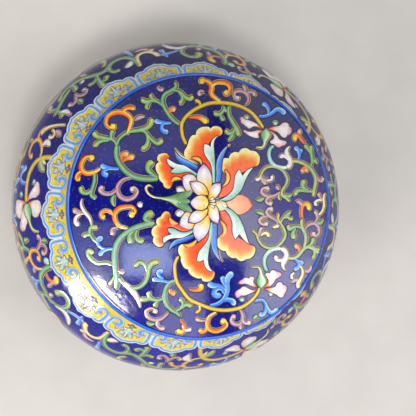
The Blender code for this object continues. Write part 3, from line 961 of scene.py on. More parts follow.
# ---------------------------------------------------------------- the lid's top
LID_SCROLLS = """
yellow vine 2.15 0
-11.5 47 -14.5 55 -14.5 63 -10.5 69 -3 74.5 7 78.5 18 79 29 77 39 72 45 65.5 48.5 60
-17.5 -37.5 -20 -43 -20 -50 -18.5 -57 -14 -64 -9 -70 0 -74.5 10 -78 20 -79 31 -77 39 -72 44 -66 45.5 -62
yellow horn 2.5 0
-0.6 75 -0.6 78.6 -4.4 80.8
-1 -75 -0.8 -78.4 -4 -80.8
stem vine 3.3 0
-33 20.8 -42 20.5 -52 22.5 -60 29 -64.5 38 -64 46
-35.5 -12.5 -43 -13.5 -51 -16 -59 -21 -64 -27 -66 -34 -66 -42 -65 -50 -64 -57 -65 -62
stem vine 2.4 0
-16.5 62 -22 66 -27.5 74 -29.5 80 -27.5 85 -22.5 88 -19 91 -20 94.5
-81 25 -81 19 -83 12 -83.5 8.5 -80 6
-19 -56 -24 -57.5 -27 -62 -28 -68 -26.5 -74 -22.5 -78.5 -18 -81 -16 -83.5
green whip 2.9 0
-64 46 -67 50 -74 51.5 -79.5 53 -81.5 56
-64 46 -62 51 -55 56 -47 57.5 -42 59 -38.5 62 -37.5 66.5
-47 57.5 -42 55.5 -40.5 50 -42 45.5 -45.5 43.5
-41.5 55 -37.5 50 -33 47.5 -29.5 50.5
21.5 76.5 21.5 70 24.5 64 27.5 59 29 54
-62.5 -53.5 -59 -58 -53 -61.5 -47 -61 -42.5 -57 -40.5 -52 -40 -47 -37.5 -43 -34.5 -42 -33 -43.5
-41 -49 -43 -44 -46.5 -42 -50.5 -45.5
-49 -17.5 -50 -22.5 -47.6 -26 -43.8 -25.6
green whip 2.6 0
-70 49.5 -77 48.5 -80.5 45
-67.5 50 -68.5 53 -67 57.5
-21.5 88 -16 87 -12 83 -8 81.5 -6 84
-17 87 -14 82 -16.5 78
-29 76 -33 79 -38 80 -42 79 -45.5 81
-34 80 -37.5 82 -38.5 85
-39 79 -41.5 76 -41 73.5
-82 14 -86 10 -90.5 11 -91 15
26.5 60 24 56 20.5 56 19 58.5
18 76.5 17.5 73 14 70 10 71
15 70 16 67 17.5 65.5
88 11.6 83 11.8 78 12.4 74.8 11.6 73.8 8.4
85.6 30.6 87.2 34 87 38.4 86.4 42 86.4 47
86.6 40.4 84 44.2 81.2 47.4
-79 -26.8 -82.8 -23.4 -84.8 -19 -83.4 -15.6 -78.4 -15.8
-84.2 -21.4 -86.6 -21 -89.4 -22.6
-67.5 -44.5 -72 -42.5 -78 -43 -83 -40 -86 -36 -85.5 -33 -83 -34 -83 -36
-65 -50 -67 -55 -70 -59
-27.5 -69 -33 -71 -39 -70 -44 -70.5 -46 -69.5
-37 -70 -40 -67 -39 -64
-33 -71.5 -35 -74 -35 -76
-19 -79.5 -15 -77 -11 -74.5 -7 -76
-15 -77 -14 -73 -16.5 -70
79.4 -17 75.6 -15.4 71.6 -16 69 -17.4 67.8 -14
83 -30.6 86.4 -28.8 88 -25.8 88.2 -24
86.8 -29.6 90 -32.6 93.6 -33.2
88.2 -33 89.4 -36.6 87.4 -40
green horn 4.6 0
-51 -18.6 -54.6 -21.4 -53.4 -27.6
-33.5 21.5 -37 24 -40.6 27.5 -40 31.6 -36.5 33.5
-36 -12 -40 -11.5 -43 -9 -41 -6 -36.5 -5
84 13 79.6 15.2 81 20.6
74 -17 71.8 -20.6 72.9 -24.8
green leaf 2.6 0
25 56 22.5 52 20.5 50.5
17.5 74.5 20 72
41 -86 44 -83
-66 8.8 -67.6 4.6 -66 0
-41.4 -88.2 -38 -89.2 -34.8 -88.4
64.4 9.4 67.4 7.8 71.4 9.2
88.2 33 89.6 36 90.8 32.6
64 -8.4 67 -6.4 70.6 -3.8
90.6 -12 93.6 -12.8 96.6 -9.8
42.4 4.8 46 5 49.2 7
42.4 -4.6 46 -5 49.2 -7
sage vine 2.2 0
70.4 34.6 76 34.4 82 32 86.6 28.4 89.6 23.4 90 18.6 89 14 88 8
67.6 -39.4 73 -39.6 77 -37 80 -33.2 84 -31 88 -32.6 92.6 -36
80.6 -32 82 -26 81.6 -21 79.6 -17 78.6 -13 79.2 -9.4
sage vine 1.75 0
45.4 22 46.8 25 49 28.4 52.6 30.4 57 30.4 61.4 29 65 25.8 67.2 21 66 16.6 63.2 12.6 63 9 65.8 6.6 69 3.8
39.4 -18.4 42.6 -21 44.6 -26 48 -30 53 -31.8 58.6 -31 63 -27.4 65.8 -22 64.6 -17 62 -13 60 -10 60.6 -5.2
sage whip 1.8 0
61.4 11.6 60.2 8.6 61 5
62 -12.6 64 -9 67.4 -8.2 70 -9.8 71.6 -8.6
blue whip 2.9 0
-62.5 28.5 -70 29 -76.5 31
-70 28.5 -74.5 26.5 -74 24 -70.5 24
-22.5 63.5 -29 63.5 -35.5 65
-28 63.5 -30.5 60 -28.5 56.5 -25 56.5
45 69 50 69 55 71 60 74.5 64 73 65.5 70.5
53 71 53 75 50 78.5 48 77.5
76.4 35.2 77.4 40 76 44 73 45.2
77.2 39.4 78.2 42 79.4 43.8
-66.4 -31.4 -71.6 -32 -75.6 -34 -77 -37.2
-71.6 -32 -76 -30.4 -78.4 -27.4 -77.6 -24.4 -74.4 -24.2
-24.5 -57 -29 -56 -37.5 -54.5
-28.5 -54.5 -31 -53 -33 -50.5 -32 -49 -29 -49.5
41.8 -73.1 44.6 -71.8 48.1 -71.9 50.2 -74.4 52 -78.6 55 -81.6 58.3 -80.8 60.2 -78.3
50.2 -75 50.4 -79.6 48.4 -82.6 45.4 -81.8
73 -40.6 76 -42.4 80.6 -43.8
75.6 -42.4 76.2 -46.4 72.6 -48
blue whip 3.4 0
7 -75.5 13 -74 18 -70 20.5 -64 20 -57 22 -52.6 25 -51
19.4 -60 17.4 -57 16.8 -53
19.4 -62.6 14 -60.5 9 -60 5.4 -58
18 -66.4 16 -62.4 12 -62.6 9.8 -66 13 -68 14.2 -65.6
16.4 -72 20.6 -71 25 -72.6 24.6 -75.4
orange scroll 3.2 0
-56.5 54.5 -54.5 60 -53.5 66 -58 70 -65 70.5 -70.5 67.5 -71.5 62 -68.5 59.5 -65.5 62
-76.4 28.6 -80.6 25.6 -87 24.5 -90.6 27 -91 32 -87.6 37 -83.6 37.4 -82.6 34.4
15 80 9 84 7.5 87 8.5 91 6 94.5 2 95.5 0 93.5
8 90 11 93.5 16 94.5 21.5 93 23 90 21 87 18 87.5
-56 -16.5 -62 -15 -65.5 -11 -66 -5 -62 -1 -57 0 -52 -0.5 -50 -4 -52.5 -6 -55 -6.5
12 -80.5 7 -83.5 5 -88 6.5 -93 12 -95 18 -93 20.5 -90 18.5 -87.5 15.5 -88
orange whip 2.4 0
-60 70 -57.5 73.5 -53 74.5 -51 73
-90 26.5 -93.5 24 -94 20.5 -91.5 21
5.5 -90 4.5 -94 1.5 -96 -1 -93.5
-66 -8 -69 -4.5 -73 -3.5 -75.5 -6 -73 -8.5
ember horn 3.6 0
-60.5 34.5 -60 38.5 -55.5 39.5
-60 33 -56.5 36 -51 37
-24.5 70 -23.5 72.5 -19.5 73.5
-24 -62.5 -23 -65 -19.5 -66
80.2 30.8 79.8 28.4 78.4 26.6
80.6 30.8 82.4 29.2 82.2 26.8
76.4 -35 76.4 -32 73 -30.2
hook whip 2.7 0
81.2 48.2 78.6 51.6 75.6 54.4 73.4 53.6 74.8 51
79.4 -9 78.8 -4 79.6 0.4 82 2 84.2 0.6 84.2 -2.6
-15.6 -86.4 -12.6 -91 -14 -95.2 -18.4 -93.8
hook horn 3.6 0
-9.4 67.2 -4 67.6 1 66.4 4.6 63.4
-9.4 -62.8 -4 -63.6 0 -62.2 -0.4 -58.8
mauve scroll 2.7 0
-53 22 -60 20 -64 14 -62 7.5 -56.5 5 -51 7 -48.5 11.5 -51 14.5 -53.5 11.5
34 78 36.5 80 36.5 85 33 87.5 29 88 26 86 28 83 30 84
60.6 11 57 8.4 53 7.4 50.4 4.8 51.4 2.2 55.4 2.8
54.6 7.6 49.6 8.4 46.6 11.2 48 14 53.2 13.6
60 -14.4 58 -10.4 53.6 -7.8 50.8 -4.8 52 -1.6 56 -2.6
51.6 -7.4 47 -8.4 45 -10.8 47.4 -13.6 52.2 -12.6
-24.5 -80 -27 -83 -31 -85.5 -36 -86 -41 -83 -41.5 -78.5 -37 -77 -34.5 -79 -36 -80.5
30.5 -79 32.5 -83 32.5 -87 35 -89.5 39 -88
32.5 -87 30 -90 26 -90 23.5 -87 25 -84 27 -85
81 -19.6 82.6 -16 86 -13.4 89.6 -13.4 92.6 -16.6 92.6 -20.6 89.8 -22.6 87.8 -19.4
mauve whip 2.2 0
-63.5 14 -68 9.5 -74 9.5 -77 12.5 -74.5 15
36 86 38 87.5 41 87 42 84.5
-32 -86 -33.5 -89 -31 -92.5 -27.5 -92
90.4 23.4 92.4 20.6 95 19.4 96 22.4
46.8 24.6 47.2 20.6 50.2 17
47.6 21.6 49.6 20.2 52 20
44.6 -22.6 45.6 -18.4 47.2 -15.8
-33 91 -32 88.5 -28.5 88.5
3 87 0 88 -1.5 86 0 84.5
5 -86 2 -87 -4 -85.5
88.6 -12.8 91.2 -9.4 91 -6 88.8 -3.8
95.6 4.6 93.4 7.6 92 10.2
mauve horn 3.2 0
-88.6 -5.6 -92.5 -5 -97 -2.8
-63.4 -48 -60.6 -49.6 -58 -49.4
-63 -16 -67.6 -16.8 -67.4 -21.4
white petal 2.8 0
-62.9 -55.4 -57.5 -59 -52.8 -63.4 -48.6 -69.5 -46.5 -76.5
white petal 1.9 0
-83.2 -14.8 -84.6 -9 -88.8 -3.6 -91 1.4 -90.4 6
mauve leaf 2.6 0
-50.5 64.5 -47 67 -43 67.5
34.5 87 34.5 90 32.5 92.5
31 -90 31 -94
58.2 16 60.6 12.8
74 3.6 76.8 3.4 79.2 0.2
70.6 -59 73.6 -56.8 77.4 -56.6
80.8 -49.6 85 -49.4 87 -45.4
white whip 2.0 0
95.4 4.8 92.2 5 89.6 3.2 90.8 0.6
46.6 24 45 21 42 20.4
51 19.8 54.6 20.6 55 23.8
-14 -90 -11.5 -94 -7 -93
73.2 -50.8 70.8 -53 72 -55.8
white oval 3.0 0
-48 0.4 -45 1.6
white oval 3.9 0
-19 13 -13 11
-19.2 -6.2 -13.4 -4.4
pink oval 2.5 0
77.2 59.4 77.2 55.8
cream whip 2.3 0
46.4 -22.6 48 -20.8 51 -20.4 52.6 -23.4
77.6 -45.4 79.6 -48.6 79.6 -52.6 77.6 -56.6 76 -59.6 77 -62.8
55.6 -16.2 60.6 -14.6
cream vine 1.5 0
97.4 10.4 96.4 6 96.8 1 95.4 -3.4 92.4 -6.4
teal vine 2.25 0
57 46.4 54 44.4 52.8 40.4 53.6 36 56.4 32 60.4 30.2 64.6 29.8 67 30.2
51.6 -49.6 49.4 -45 49.2 -40 51.4 -36 55 -33.2 59.6 -32.2 62.4 -32.4
white tail 3.0 0
66.8 30 69.4 32 69.4 35.8 67.4 39 66.6 42 67.6 44.6 69.8 46.4
62 -32.4 65.4 -34 66.6 -37.8 65.2 -41.4 63.8 -44.2 64.4 -47.2 66.6 -49.6
white whip 2.5 0
-91.4 -5.6 -95 -8.6 -95 -12 -92.8 -14.2
68.8 35.8 66 37.8 63.6 38.8 61.8 37.2
65.8 -39 63.2 -41 59.8 -41.2 58 -39.6 59.4 -37.8
"""
BRUSH = 1.24         # every scroll on the lid is this much wider than it is listed
# The blue rim is a lighter blue ring on the lid's rounded edge. It is partly the glaze running thin there
# and partly painted light: its brightest stripe is a painted highlight of the edge catching the light.
RIM_SHARE = 0.60     # how far round the lid's rounded edge the blue rim has its middle
RIM_MM = (LID_R - LID_ROUND + LID_ROUND * pi / 2 * RIM_SHARE) / MM
RIM_WIDTH_MM = 1.8
RIM_TO_GOLD_MM = 2.2
GOLD_RING_MM = 0.5
UPPER_FLOWER = (50, 58.5)      # middles of the two small flowers, in lid units
LOWER_FLOWER = (46.5, -62)


def paint_lid(painter):
    """The lid's top: scrolls first, then the flowers, each from its outer petals to its middle."""
    ring(painter, LID, "rim_blue", RIM_MM, RIM_WIDTH_MM)
    ring(painter, LID, "goldline", RIM_MM + RIM_TO_GOLD_MM, GOLD_RING_MM)
    top = LidCanvas()
    painter.strokes(top, LID_SCROLLS, LID_UNIT / MM * BRUSH)
    paint_blossom(painter, LidCanvas(UPPER_FLOWER), BLOSSOM_UP)
    paint_blossom(painter, LidCanvas(LOWER_FLOWER), BLOSSOM_DOWN, -1)
    paint_lotus(painter, top, LID_UNIT / MM)


# ---------------------------------------------------------------- the lid's wall
WALL_TOP_MM = (LID_R - LID_ROUND + LID_ROUND * pi / 2) / MM
WALL_GOLD_MM = 9.9       # from the wall's top down to its gold line
WALL_REPEATS = 12
# In degrees from the motif's middle and millimetres down the wall.
WALL_SCROLLS = """
stem vine 0.9 0
-15 5.6 -11 8 -6 8 -2.5 5.6 1 3.2 6 3 11 3.8 15 5.6
green whip 0.85 0
-8 8 -10 5.4 -7.6 3.6 -5.6 4.8
8 3.4 10.4 6.4 7.6 8.4 5.4 7
-2.5 5.6 -3.4 3 -1.4 2.2
2 3.4 2.8 6 0.6 7.6
orange scroll 0.95 0
-12.6 7.4 -14.6 4.6 -12.6 2.4 -10.6 3.2
blue whip 0.9 0
11.6 4.4 13 2.4 11 1.6
0.6 8 -1.6 9.2
mauve leaf 0.8 0
4.4 3 3.4 1.2
-4.6 7.6 -3.4 9.4
13.4 5.4 12 8.6
"""


def paint_lid_wall(painter):
    """A plain running scroll round the lid's wall, between two gold lines."""
    for k in range(WALL_REPEATS):
        painter.strokes(RoundCanvas(LID, 360 / WALL_REPEATS * k, WALL_TOP_MM), WALL_SCROLLS)
    ring(painter, LID, "goldline", WALL_TOP_MM + WALL_GOLD_MM, GOLD_RING_MM)


# ---------------------------------------------------------------- shoulder lappets
LAPPETS = 18
LAPPET_START_DEG = 3.4
# The band was laid by hand: it hangs this many millimetres lower round one bearing.
BAND_DIP_MM = 2.8
BAND_DIP_DEG = 230.0
BAND_DIP_SPREAD_DEG = 34.0
EDGE_LINE_MM = 0.10          # width of the line beside a border of white and blue
LAPPET_EDGE_MM = 1.75        # width of the lappet's border
LAPPET_EDGE_IN_MM = 0.8      # how far inside the lappet's outline the border has its middle
# One ruyi lappet, in degrees from its middle and millimetres down from the ledge.
LAPPET_SIDE = """
{0}10 -3 {0}10 3 {0}10 6.8 {0}9.3 8.8 {0}7.8 9.7 {0}6.4 9.8 {0}5.6 9.4 | {0}4.8 10.2 {0}3.2 11.2 {0}1.4 11.6
0 12.3
"""
LAPPET_EDGE = """
-9.9 2.4 -9.9 6.8 -9.3 8.8 -7.8 9.7 -6.4 9.8 -5.6 9.4 | -4.8 10.2 -3.2 11.2 -1.4 11.6 0 12.3 | 1.4 11.6
3.2 11.2 4.8 10.2 5.6 9.4 | 6.4 9.8 7.8 9.7 9.3 8.8 9.9 6.8 9.9 2.4
"""
LAPPET_CURLS = """
lappet_curl whip 1.75 1
-8.8 8.4 -8.9 5 -8.7 2.6 -7.5 1.2 -5.8 1 -4.6 2 -4.5 3.4 -5.5 4.4 -6.4 3.6
8.8 8.4 8.9 5 8.7 2.6 7.5 1.2 5.8 1 4.6 2 4.5 3.4 5.5 4.4 6.4 3.6
"""
LAPPET_FLOWER = """
lilac leaf 1.3 1
-1 4.2 -2.8 4.9 -4.6 5.4 -4.8 6.8
1 4.2 2.8 4.9 4.6 5.4 4.8 6.8
frost petal 1.7 1
0 5 0 9.6
-0.6 5.4 -2.7 8.3
0.6 5.4 2.7 8.3
white leaf 0.8 2
-1 4.4 -2.4 3.6
1 4.4 2.4 3.6
0 6.4 0 8.6
frost oval 2.8 2
0 2.9 0 6.8
purple oval 0.8 1
-1.9 1.4 -0.4 1.4
0.4 1.4 1.9 1.4
0 0.2 0 1.2
0 1.6 0 2.6
jade oval 0.6 2
-0.5 1.4 0.5 1.4
"""


def band_dip(deg):
    """How much lower the band hangs at a bearing, in millimetres."""
    away = (deg - BAND_DIP_DEG + 180) % 360 - 180
    return BAND_DIP_MM * exp(-(away / BAND_DIP_SPREAD_DEG) ** 2)


class BandCanvas(RoundCanvas):
    """A lappet of the shoulder: its top stays at the ledge, and the rest hangs lower with the band."""

    def place(self, points, lift):
        bearing = points[..., 0] + self.start_deg
        dip = np.array([band_dip(deg) for deg in bearing.ravel()])
        down = np.maximum(points[..., 1] + dip.reshape(bearing.shape), 0)
        return self.surface.place(np.radians(bearing), down * MM, lift)


def two_sides(side):
    """The left and the right side of a shape, from a path that holds {0} where the sign goes."""
    return side.format("-"), side.format("")


def paint_shoulder(painter):
    """The band of yellow lappets below the lid."""
    for k in range(LAPPETS):
        canvas = BandCanvas(SIDE, LAPPET_START_DEG + 360 / LAPPETS * k)
        painter.patch(canvas, *two_sides(LAPPET_SIDE), "lappet_ground", line=0)
        painter.strokes(canvas, LAPPET_CURLS)
        painter.stroke(canvas, LAPPET_EDGE, "lappet_edge", "line", LAPPET_EDGE_MM, 2, EDGE_LINE_MM,
                       -LAPPET_EDGE_IN_MM)
        painter.strokes(canvas, LAPPET_FLOWER)


# ---------------------------------------------------------------- the jar's scrolls
# Where the three small flowers of the shoulder stand, in degrees: painted by hand, not evenly.
BLOSSOM_DEG = (50.0, 179.0, 293.5)
EVEN_SPACE_DEG = 120     # from each to the next if they did stand evenly
BODY_BRUSH = 1.34        # the shoulder's scrolls are this much wider than they are listed
# The shoulder's small flower, in degrees from it and millimetres down.
SIDE_BLOSSOM = """
bloom 1
-0.8 19.8 -3.2 18.9 -5 17.6 -6.6 16.5 -8.4 15.7 | -7.8 14.4 -6.2 13.8 | -4.6 13.4 -3.2 14
-0.8 19.4 -1.8 18.3 -2.3 17 -2.4 15.5 -3.2 14
-0.2 19.2 -0.8 17.5 -1.2 16 -1.4 14.4 -0.8 13 0.4 12.5 | 1.8 12.1 3.2 13.1
0.4 19.2 1.4 18 3.2 17.2 4.6 16.6 5 15 4.4 13.8 3.2 13.1
0.4 20.6 2.4 21.9 4.2 21.5 5 20.7 | 6.6 20.1 7.8 21.1 | 9 21.8 9.6 23 9.4 24.4 8.2 25.4
0.6 21 2.2 22.6 4.2 23.4 5.8 24 6.8 24.8 8.2 25.4
-0.6 20.6 -0.9 22 -1 23.6 -1.3 25.6 -1 27.2 0 27.7 | 1.2 28.3 2.6 28.4 3.4 27.3
-0.2 20.8 0.8 22.4 2.4 23 4.2 23.5 5.2 24.6 4.8 25.9 | 4.4 27 3.4 27.3
bud 2
0 20 0.6 21 2 21.6 3.8 21.2 5.2 20 6.6 19.1 8.6 18.5 10 17.3 10.5 15.8 10.2 14.3
0 19.9 0.2 18.8 1.6 17.7 3.4 17.5 5 18.2 7 18.1 8.8 17.3 9.8 15.9 10.2 14.3
"""
# The scroll that leads in to a small flower, in degrees from it and millimetres down.
LEADING_SCROLLS = """
yellow vine 1.2 0
-18.5 9.3 -18 14 -16 18 -12 20.3 -7 20.8 -0.6 20.3
sage petal 1.8 0
-17.5 15.9 -15 15.6 -12.9 12.8
cream leaf 0.8 0
-17.4 15.6 -16 14.2 -15.8 13
amber scroll 1.15 0
-17.5 17 -19.8 17.3 -22 18.6 -23.5 20.6 -23.6 22.6 -22 24.3 -19.6 24.7 -17.5 23.9 -16.8 22.5 -17.8 21.6
amber whip 0.95 0
-23.6 21.8 -26 22.7 -27.7 21.6 -28.2 19.6
mauve leaf 0.9 0
-22.6 24.6 -22.8 27.4
white petal 1.5 0
-21.8 18.2 -23.6 16.8 -22.8 14.2
blue whip 1.35 0
-7.2 21.4 -7.6 24.4 -9.4 26.2 -11.4 25.2 -13.2 23
-8.4 25.4 -8 29
blue leaf 1.2 0
-11.4 24.6 -12.6 26.4 -12.6 28
jade oval 1.1 0
-8.2 17.8 -8.2 16.4
-3.4 24.6 -3.4 23
"""
# What fills the wider space before the second small flower, placed as the leading scroll is.
WIDE_SPACE_SCROLLS = """
cream whip 0.85 0
-32.5 12.4 -31 16.2 -28.4 20.4 -25.6 21.8
-28.8 17.2 -27.8 15 -26 15.2 -25.7 17.2
mauve leaf 1.5 0
-28 11.4 -29 15.2
-34.6 24 -36.4 27.6
stem vine 1.2 0
-45 24 -40.6 22.6 -37.4 21.4 -33.6 20.2
green whip 1.2 0
-36.4 21.4 -34.8 24.4 -35.4 27.4
-35.4 20.8 -35.8 18 -34.4 16.4
"""
# The scroll that follows a small flower, as far as the next one's.
FOLLOWING_SCROLLS = """
green leaf 1.3 0
14.3 11.2 14 14.2
mauve scroll 1.05 0
17.8 18.8 15.5 15.5 13.5 14.5 11.8 16
15.5 16 15.6 13.6 17.6 12.8 19.2 14.2 18.4 15.8
amber scroll 1.2 0
24.4 18.4 23.4 21.4 20.6 23 18.2 22.4 17 20.2 17.8 18 19.8 17.7 20.4 19.3
amber whip 0.95 0
19 23 19.4 25.4 20.6 28.6
green whip 1.32 0
16.6 22 15 25 12.4 25.6 10 27.8
12.7 21 13 24
15.4 25 15.5 28.4
mauve leaf 1.0 0
22.4 22 24.6 24.6
jade petal 1.3 0
21.2 15.8 23.4 14.2
21.6 16 21.8 13.6
stem vine 1.38 0
24.6 13.6 24.7 17.2 26.6 21.2 29.6 23.2 33.2 23.7 37.2 24.4
green whip 1.32 0
36.6 23.6 40 21.6 41.2 18 39.4 15.4 36.4 15 34.8 16.6 34.6 18.8
34.6 23.6 33 27 35.6 29.6 39 28.8
hook whip 1.35 0
26.2 17.5 28.6 17.8 30.4 16.4 30.2 14.6 28.6 13.8
mauve leaf 0.9 0
30.5 17.2 31 20.6
blue whip 1.25 0
28.2 23.2 27.8 26 26 28
28.2 25 29.6 28.2
42 19.7 44.6 18.2 49 17
47.4 15.2 48 18 48.6 21.2
59 21 59.6 24.4 60.4 28.6
pink oval 1.0 0
34.3 22.6 34.3 20.6
white petal 1.5 0
38.5 23.6 41.6 21.4 44.6 22.2 47 26
cream whip 1.2 0
58.5 13.3 58.3 17 57.4 20 55 21.4 52.6 20.8 51 19 50.2 16.8
cream horn 1.4 0
54 21.4 52 21.8 51 23
pink leaf 1.2 0
52.6 22.4 54.4 24.2 57.4 23.4
stem vine 1.32 0
58.8 14.2 59.6 19 62 22 65.6 22.5 68.4 20.8 69.2 18
green whip 1.2 0
69.2 18 68.2 16 66 16
white petal 1.6 0
60.6 18.2 62 16.2 64 15.6
stem vine 1.32 0
68.6 20.4 72 19.5 75.5 21.4 79 24.4 83.4 26
green whip 1.2 0
74 20 74.6 17.6 75 14.6 75 12
75 15.4 72.6 14.6 71.4 16.6
75 18.2 77 17.2 79 18
83 26 82.4 23 83.2 20.6
83.4 26 87 25.8 89.6 23.6
mauve scroll 1.05 0
84.6 19.8 84.4 17.2 82.4 15.4 80.6 16.4 81.6 18.4
85 18.6 86.4 16.2 88.6 16 89.2 18
green leaf 1.3 0
85.4 12.8 85.4 15.8
white leaf 1.2 0
78.6 23 80 21.6
91.8 14 92 17 93.6 19.2
mauve leaf 0.9 0
91.6 13 92.4 15.6
76.4 24.4 77.6 28
sage whip 1.1 0
70 22.6 68.4 25 68.6 29
"""
# One side of a large lotus of the belly as far as midway to the next, in millimetres from it.
BELLY_SCROLLS = """
yellow vine 1.4 0
0 -19.6 6 -19.9 14 -21.4 24 -20.6 33 -17 39.5 -10.5 44.5 -5 50 -2.8 56.4 -2.2
yellow horn 1.1 0
9 -20.6 11 -18
44 -5.6 42.4 -2.6
stem vine 1.45 0
29 -19.2 34 -13.4 36 -6 34.6 1.5 29.5 6.5 24.8 5 24.6 1.2 27.4 -0.6
35.8 -7.6 39 -1 40 7 36.6 13.6 30 17.2 24 16.6
green whip 1.35 0
37 -13.4 41 -12.8 45 -14 46.4 -17 44.4 -19.6 41.6 -19 42 -16.8
40 5 44.5 3.6 48.6 6.4 49 11 45.6 13.8 42.4 12.2 43 9.4
21 -21.2 24 -17.6 24.6 -12.6 21.6 -9.8 18.6 -11.4 19.6 -14
31 5.4 31.8 9.6 35 10.4
34.6 15 37.6 18.2 41.6 17.8
48.8 8 52 7.4 53.6 10.4 51.6 12.8
green leaf 1.7 0
26.6 -20.4 25.8 -17 27.8 -13.6
36 -5 32.6 -4.6 31 -2
26 17 22.6 18.4 19 17.4
39.8 9.6 42.8 16 40.4 19.4
blue whip 1.5 0
24.6 -1.6 28.6 -4 31.4 -8
28.4 -4.4 27.2 -8.4
34.8 -17.4 38 -17 40.6 -20.6
38 -17.6 36.6 -20.8
56 14.2 52 15.4 48.6 18.8
52.4 15.4 52.4 18.6
orange scroll 1.6 0
38 12 43.4 16.4 48.4 15.6 49.6 12.6 47.4 11
30.4 -18.4 31 -13.4 28.4 -10.4 26.4 -11.8 27.6 -13.6
hook whip 1.4 0
36.6 -2.6 41 -0.8 40.8 2.4 38.8 2.4
15 -21.2 16.6 -17.8 14.4 -16
mauve scroll 1.35 0
41.4 -8.4 44.6 -11 49.4 -9.8 49.6 -7 47.4 -6.8
32.4 8 28.4 12.8 24.8 11.6 24.8 8.8 27 8.8
5.4 -19.6 3 -22.6 6 -23.4 8 -22
mauve leaf 1.4 0
47 -17 48.6 -13.4
35 4 38 7
22.4 -18.4 20.4 -15.4
54.8 4 56.4 7.4
white leaf 1.2 0
34.6 -11.4 31.6 -11.4
43 -1.6 46.6 -0.2
32.6 13.4 34.8 11.8
jade petal 1.5 0
33 -17 35.2 -13.6
20.4 -5.6 22.4 -3.4
51.6 -5.4 54.6 -6.8
"""
BELLY_LOTUS_MM = 46.5             # how far down the side the large lotuses have their middles
BELLY_LOTUS_SIZE = 38.0           # millimetres to a hundred units of the lotus
BELLY_BLOSSOM_SIZE = 40.0         # and of the small flowers between them
# The border of petals round the foot, in degrees from the petal's middle and millimetres down.
FOOT_PETALS = 24
FOOT_EDGE_MM = 1.3                # width of the petal's border
FOOT_EDGE_IN_MM = 0.6             # how far inside the petal's outline the border has its middle
FOOT_PETAL_SIDE = "{0}7.3 83.4 {0}7.3 79.5 {0}6.6 76.8 {0}4.6 75 {0}2 74.2 0 72.6"
FOOT_PETAL_EDGE = """
-7.2 83.4 -7.2 79.5 -6.5 76.8 -4.6 75 -2 74.2 0 72.6 | 2 74.2 4.6 75 6.5 76.8 7.2 79.5 7.2 83.4
"""
FOOT_PETAL_FILL = """
frost petal 1.7 1
0 82.4 0 77
-0.6 81.8 -3.4 79
0.6 81.8 3.4 79
white leaf 0.8 2
0 81.6 0 78
purple oval 0.8 2
-0.6 82.4 0.6 82.4
"""
# The lines above and below the border: enamel, millimetres down and width.
FOOT_LINES = (("goldline", 71.2, 0.7), ("white", 70.0, 0.5), ("goldline", 84.2, 0.7))


def paint_belly(painter, middle, spread):
    """One large lotus of the belly, with scrolls on both sides that are widened by spread."""
    canvas = MotifCanvas(SIDE, middle, BELLY_LOTUS_MM, BELLY_LOTUS_SIZE, turn_deg=90)
    paint_lotus(painter, canvas, BELLY_LOTUS_SIZE / 100)
    for mirror in (1, -1):
        canvas = MotifCanvas(SIDE, middle, BELLY_LOTUS_MM, 100, mirror, stretch=spread)
        painter.strokes(canvas, BELLY_SCROLLS)


def paint_foot(painter):
    """The border of petals round the foot, between lines of gold and white."""
    for k in range(FOOT_PETALS):
        canvas = RoundCanvas(SIDE, 360 / FOOT_PETALS * k)
        painter.patch(canvas, *two_sides(FOOT_PETAL_SIDE), "lappet_ground", line=0)
        painter.strokes(canvas, FOOT_PETAL_FILL)
        painter.stroke(canvas, FOOT_PETAL_EDGE, "lappet_edge", "line", FOOT_EDGE_MM, 1, EDGE_LINE_MM,
                       -FOOT_EDGE_IN_MM)
    for enamel, down_mm, width in FOOT_LINES:
        ring(painter, SIDE, enamel, down_mm, width, 2)


def paint_body(painter):
    """Small flowers and scroll on the shoulder, three large lotuses on the belly, a petalled foot."""
    for deg, following in zip(BLOSSOM_DEG, BLOSSOM_DEG[1:] + (BLOSSOM_DEG[0] + 360,)):
        canvas = RoundCanvas(SIDE, deg)
        painter.strokes(canvas, LEADING_SCROLLS, BODY_BRUSH)
        painter.strokes(canvas, FOLLOWING_SCROLLS, BODY_BRUSH)
        painter.patches(canvas, SIDE_BLOSSOM)
        paint_belly(painter, (deg + following) / 2, (following - deg) / EVEN_SPACE_DEG)
        paint_blossom(painter, MotifCanvas(SIDE, deg, BELLY_LOTUS_MM, BELLY_BLOSSOM_SIZE), BLOSSOM_UP)
    painter.strokes(RoundCanvas(SIDE, BLOSSOM_DEG[1]), WIDE_SPACE_SCROLLS, BODY_BRUSH)
    paint_foot(painter)


# ---------------------------------------------------------------- materials


def new_material(name):
    """A new material, with its nodes, its links and its shader."""
    material = bpy.data.materials.new(name)
    material.use_nodes = True
    tree = material.node_tree
    return material, tree.nodes, tree.links, tree.nodes["Principled BSDF"]


def noise(nodes, links, scale, detail=2.0, roughness=0.5):
    """A noise texture fixed to the object, scale in features per metre."""
    place = nodes.new("ShaderNodeTexCoord")
    texture = nodes.new("ShaderNodeTexNoise")
    texture.inputs["Scale"].default_value = scale
    texture.inputs["Detail"].default_value = detail
    texture.inputs["Roughness"].default_value = roughness
    links.new(place.outputs["Object"], texture.inputs["Vector"])
    return texture.outputs["Fac"]


def ramp(nodes, links, factor, stops):
    """A colour ramp: stops are (position, linear colour)."""
    node = nodes.new("ShaderNodeValToRGB")
    elements = node.color_ramp.elements
    while len(elements) < len(stops):
        elements.new(0.5)
    for element, (position, colour) in zip(elements, stops):
        element.position = position
        element.color = (*colour, 1.0)
    links.new(factor, node.inputs["Fac"])
    return node.outputs["Color"]


def mixed(nodes, links, kind, factor, first, second):
    """The colours of two nodes' outputs, blended."""
    node = nodes.new("ShaderNodeMix")
    node.data_type = "RGBA"
    node.blend_type = kind
    node.inputs["Factor"].default_value = factor
    links.new(first, node.inputs[6])
    links.new(second, node.inputs[7])
    return node.outputs[2]


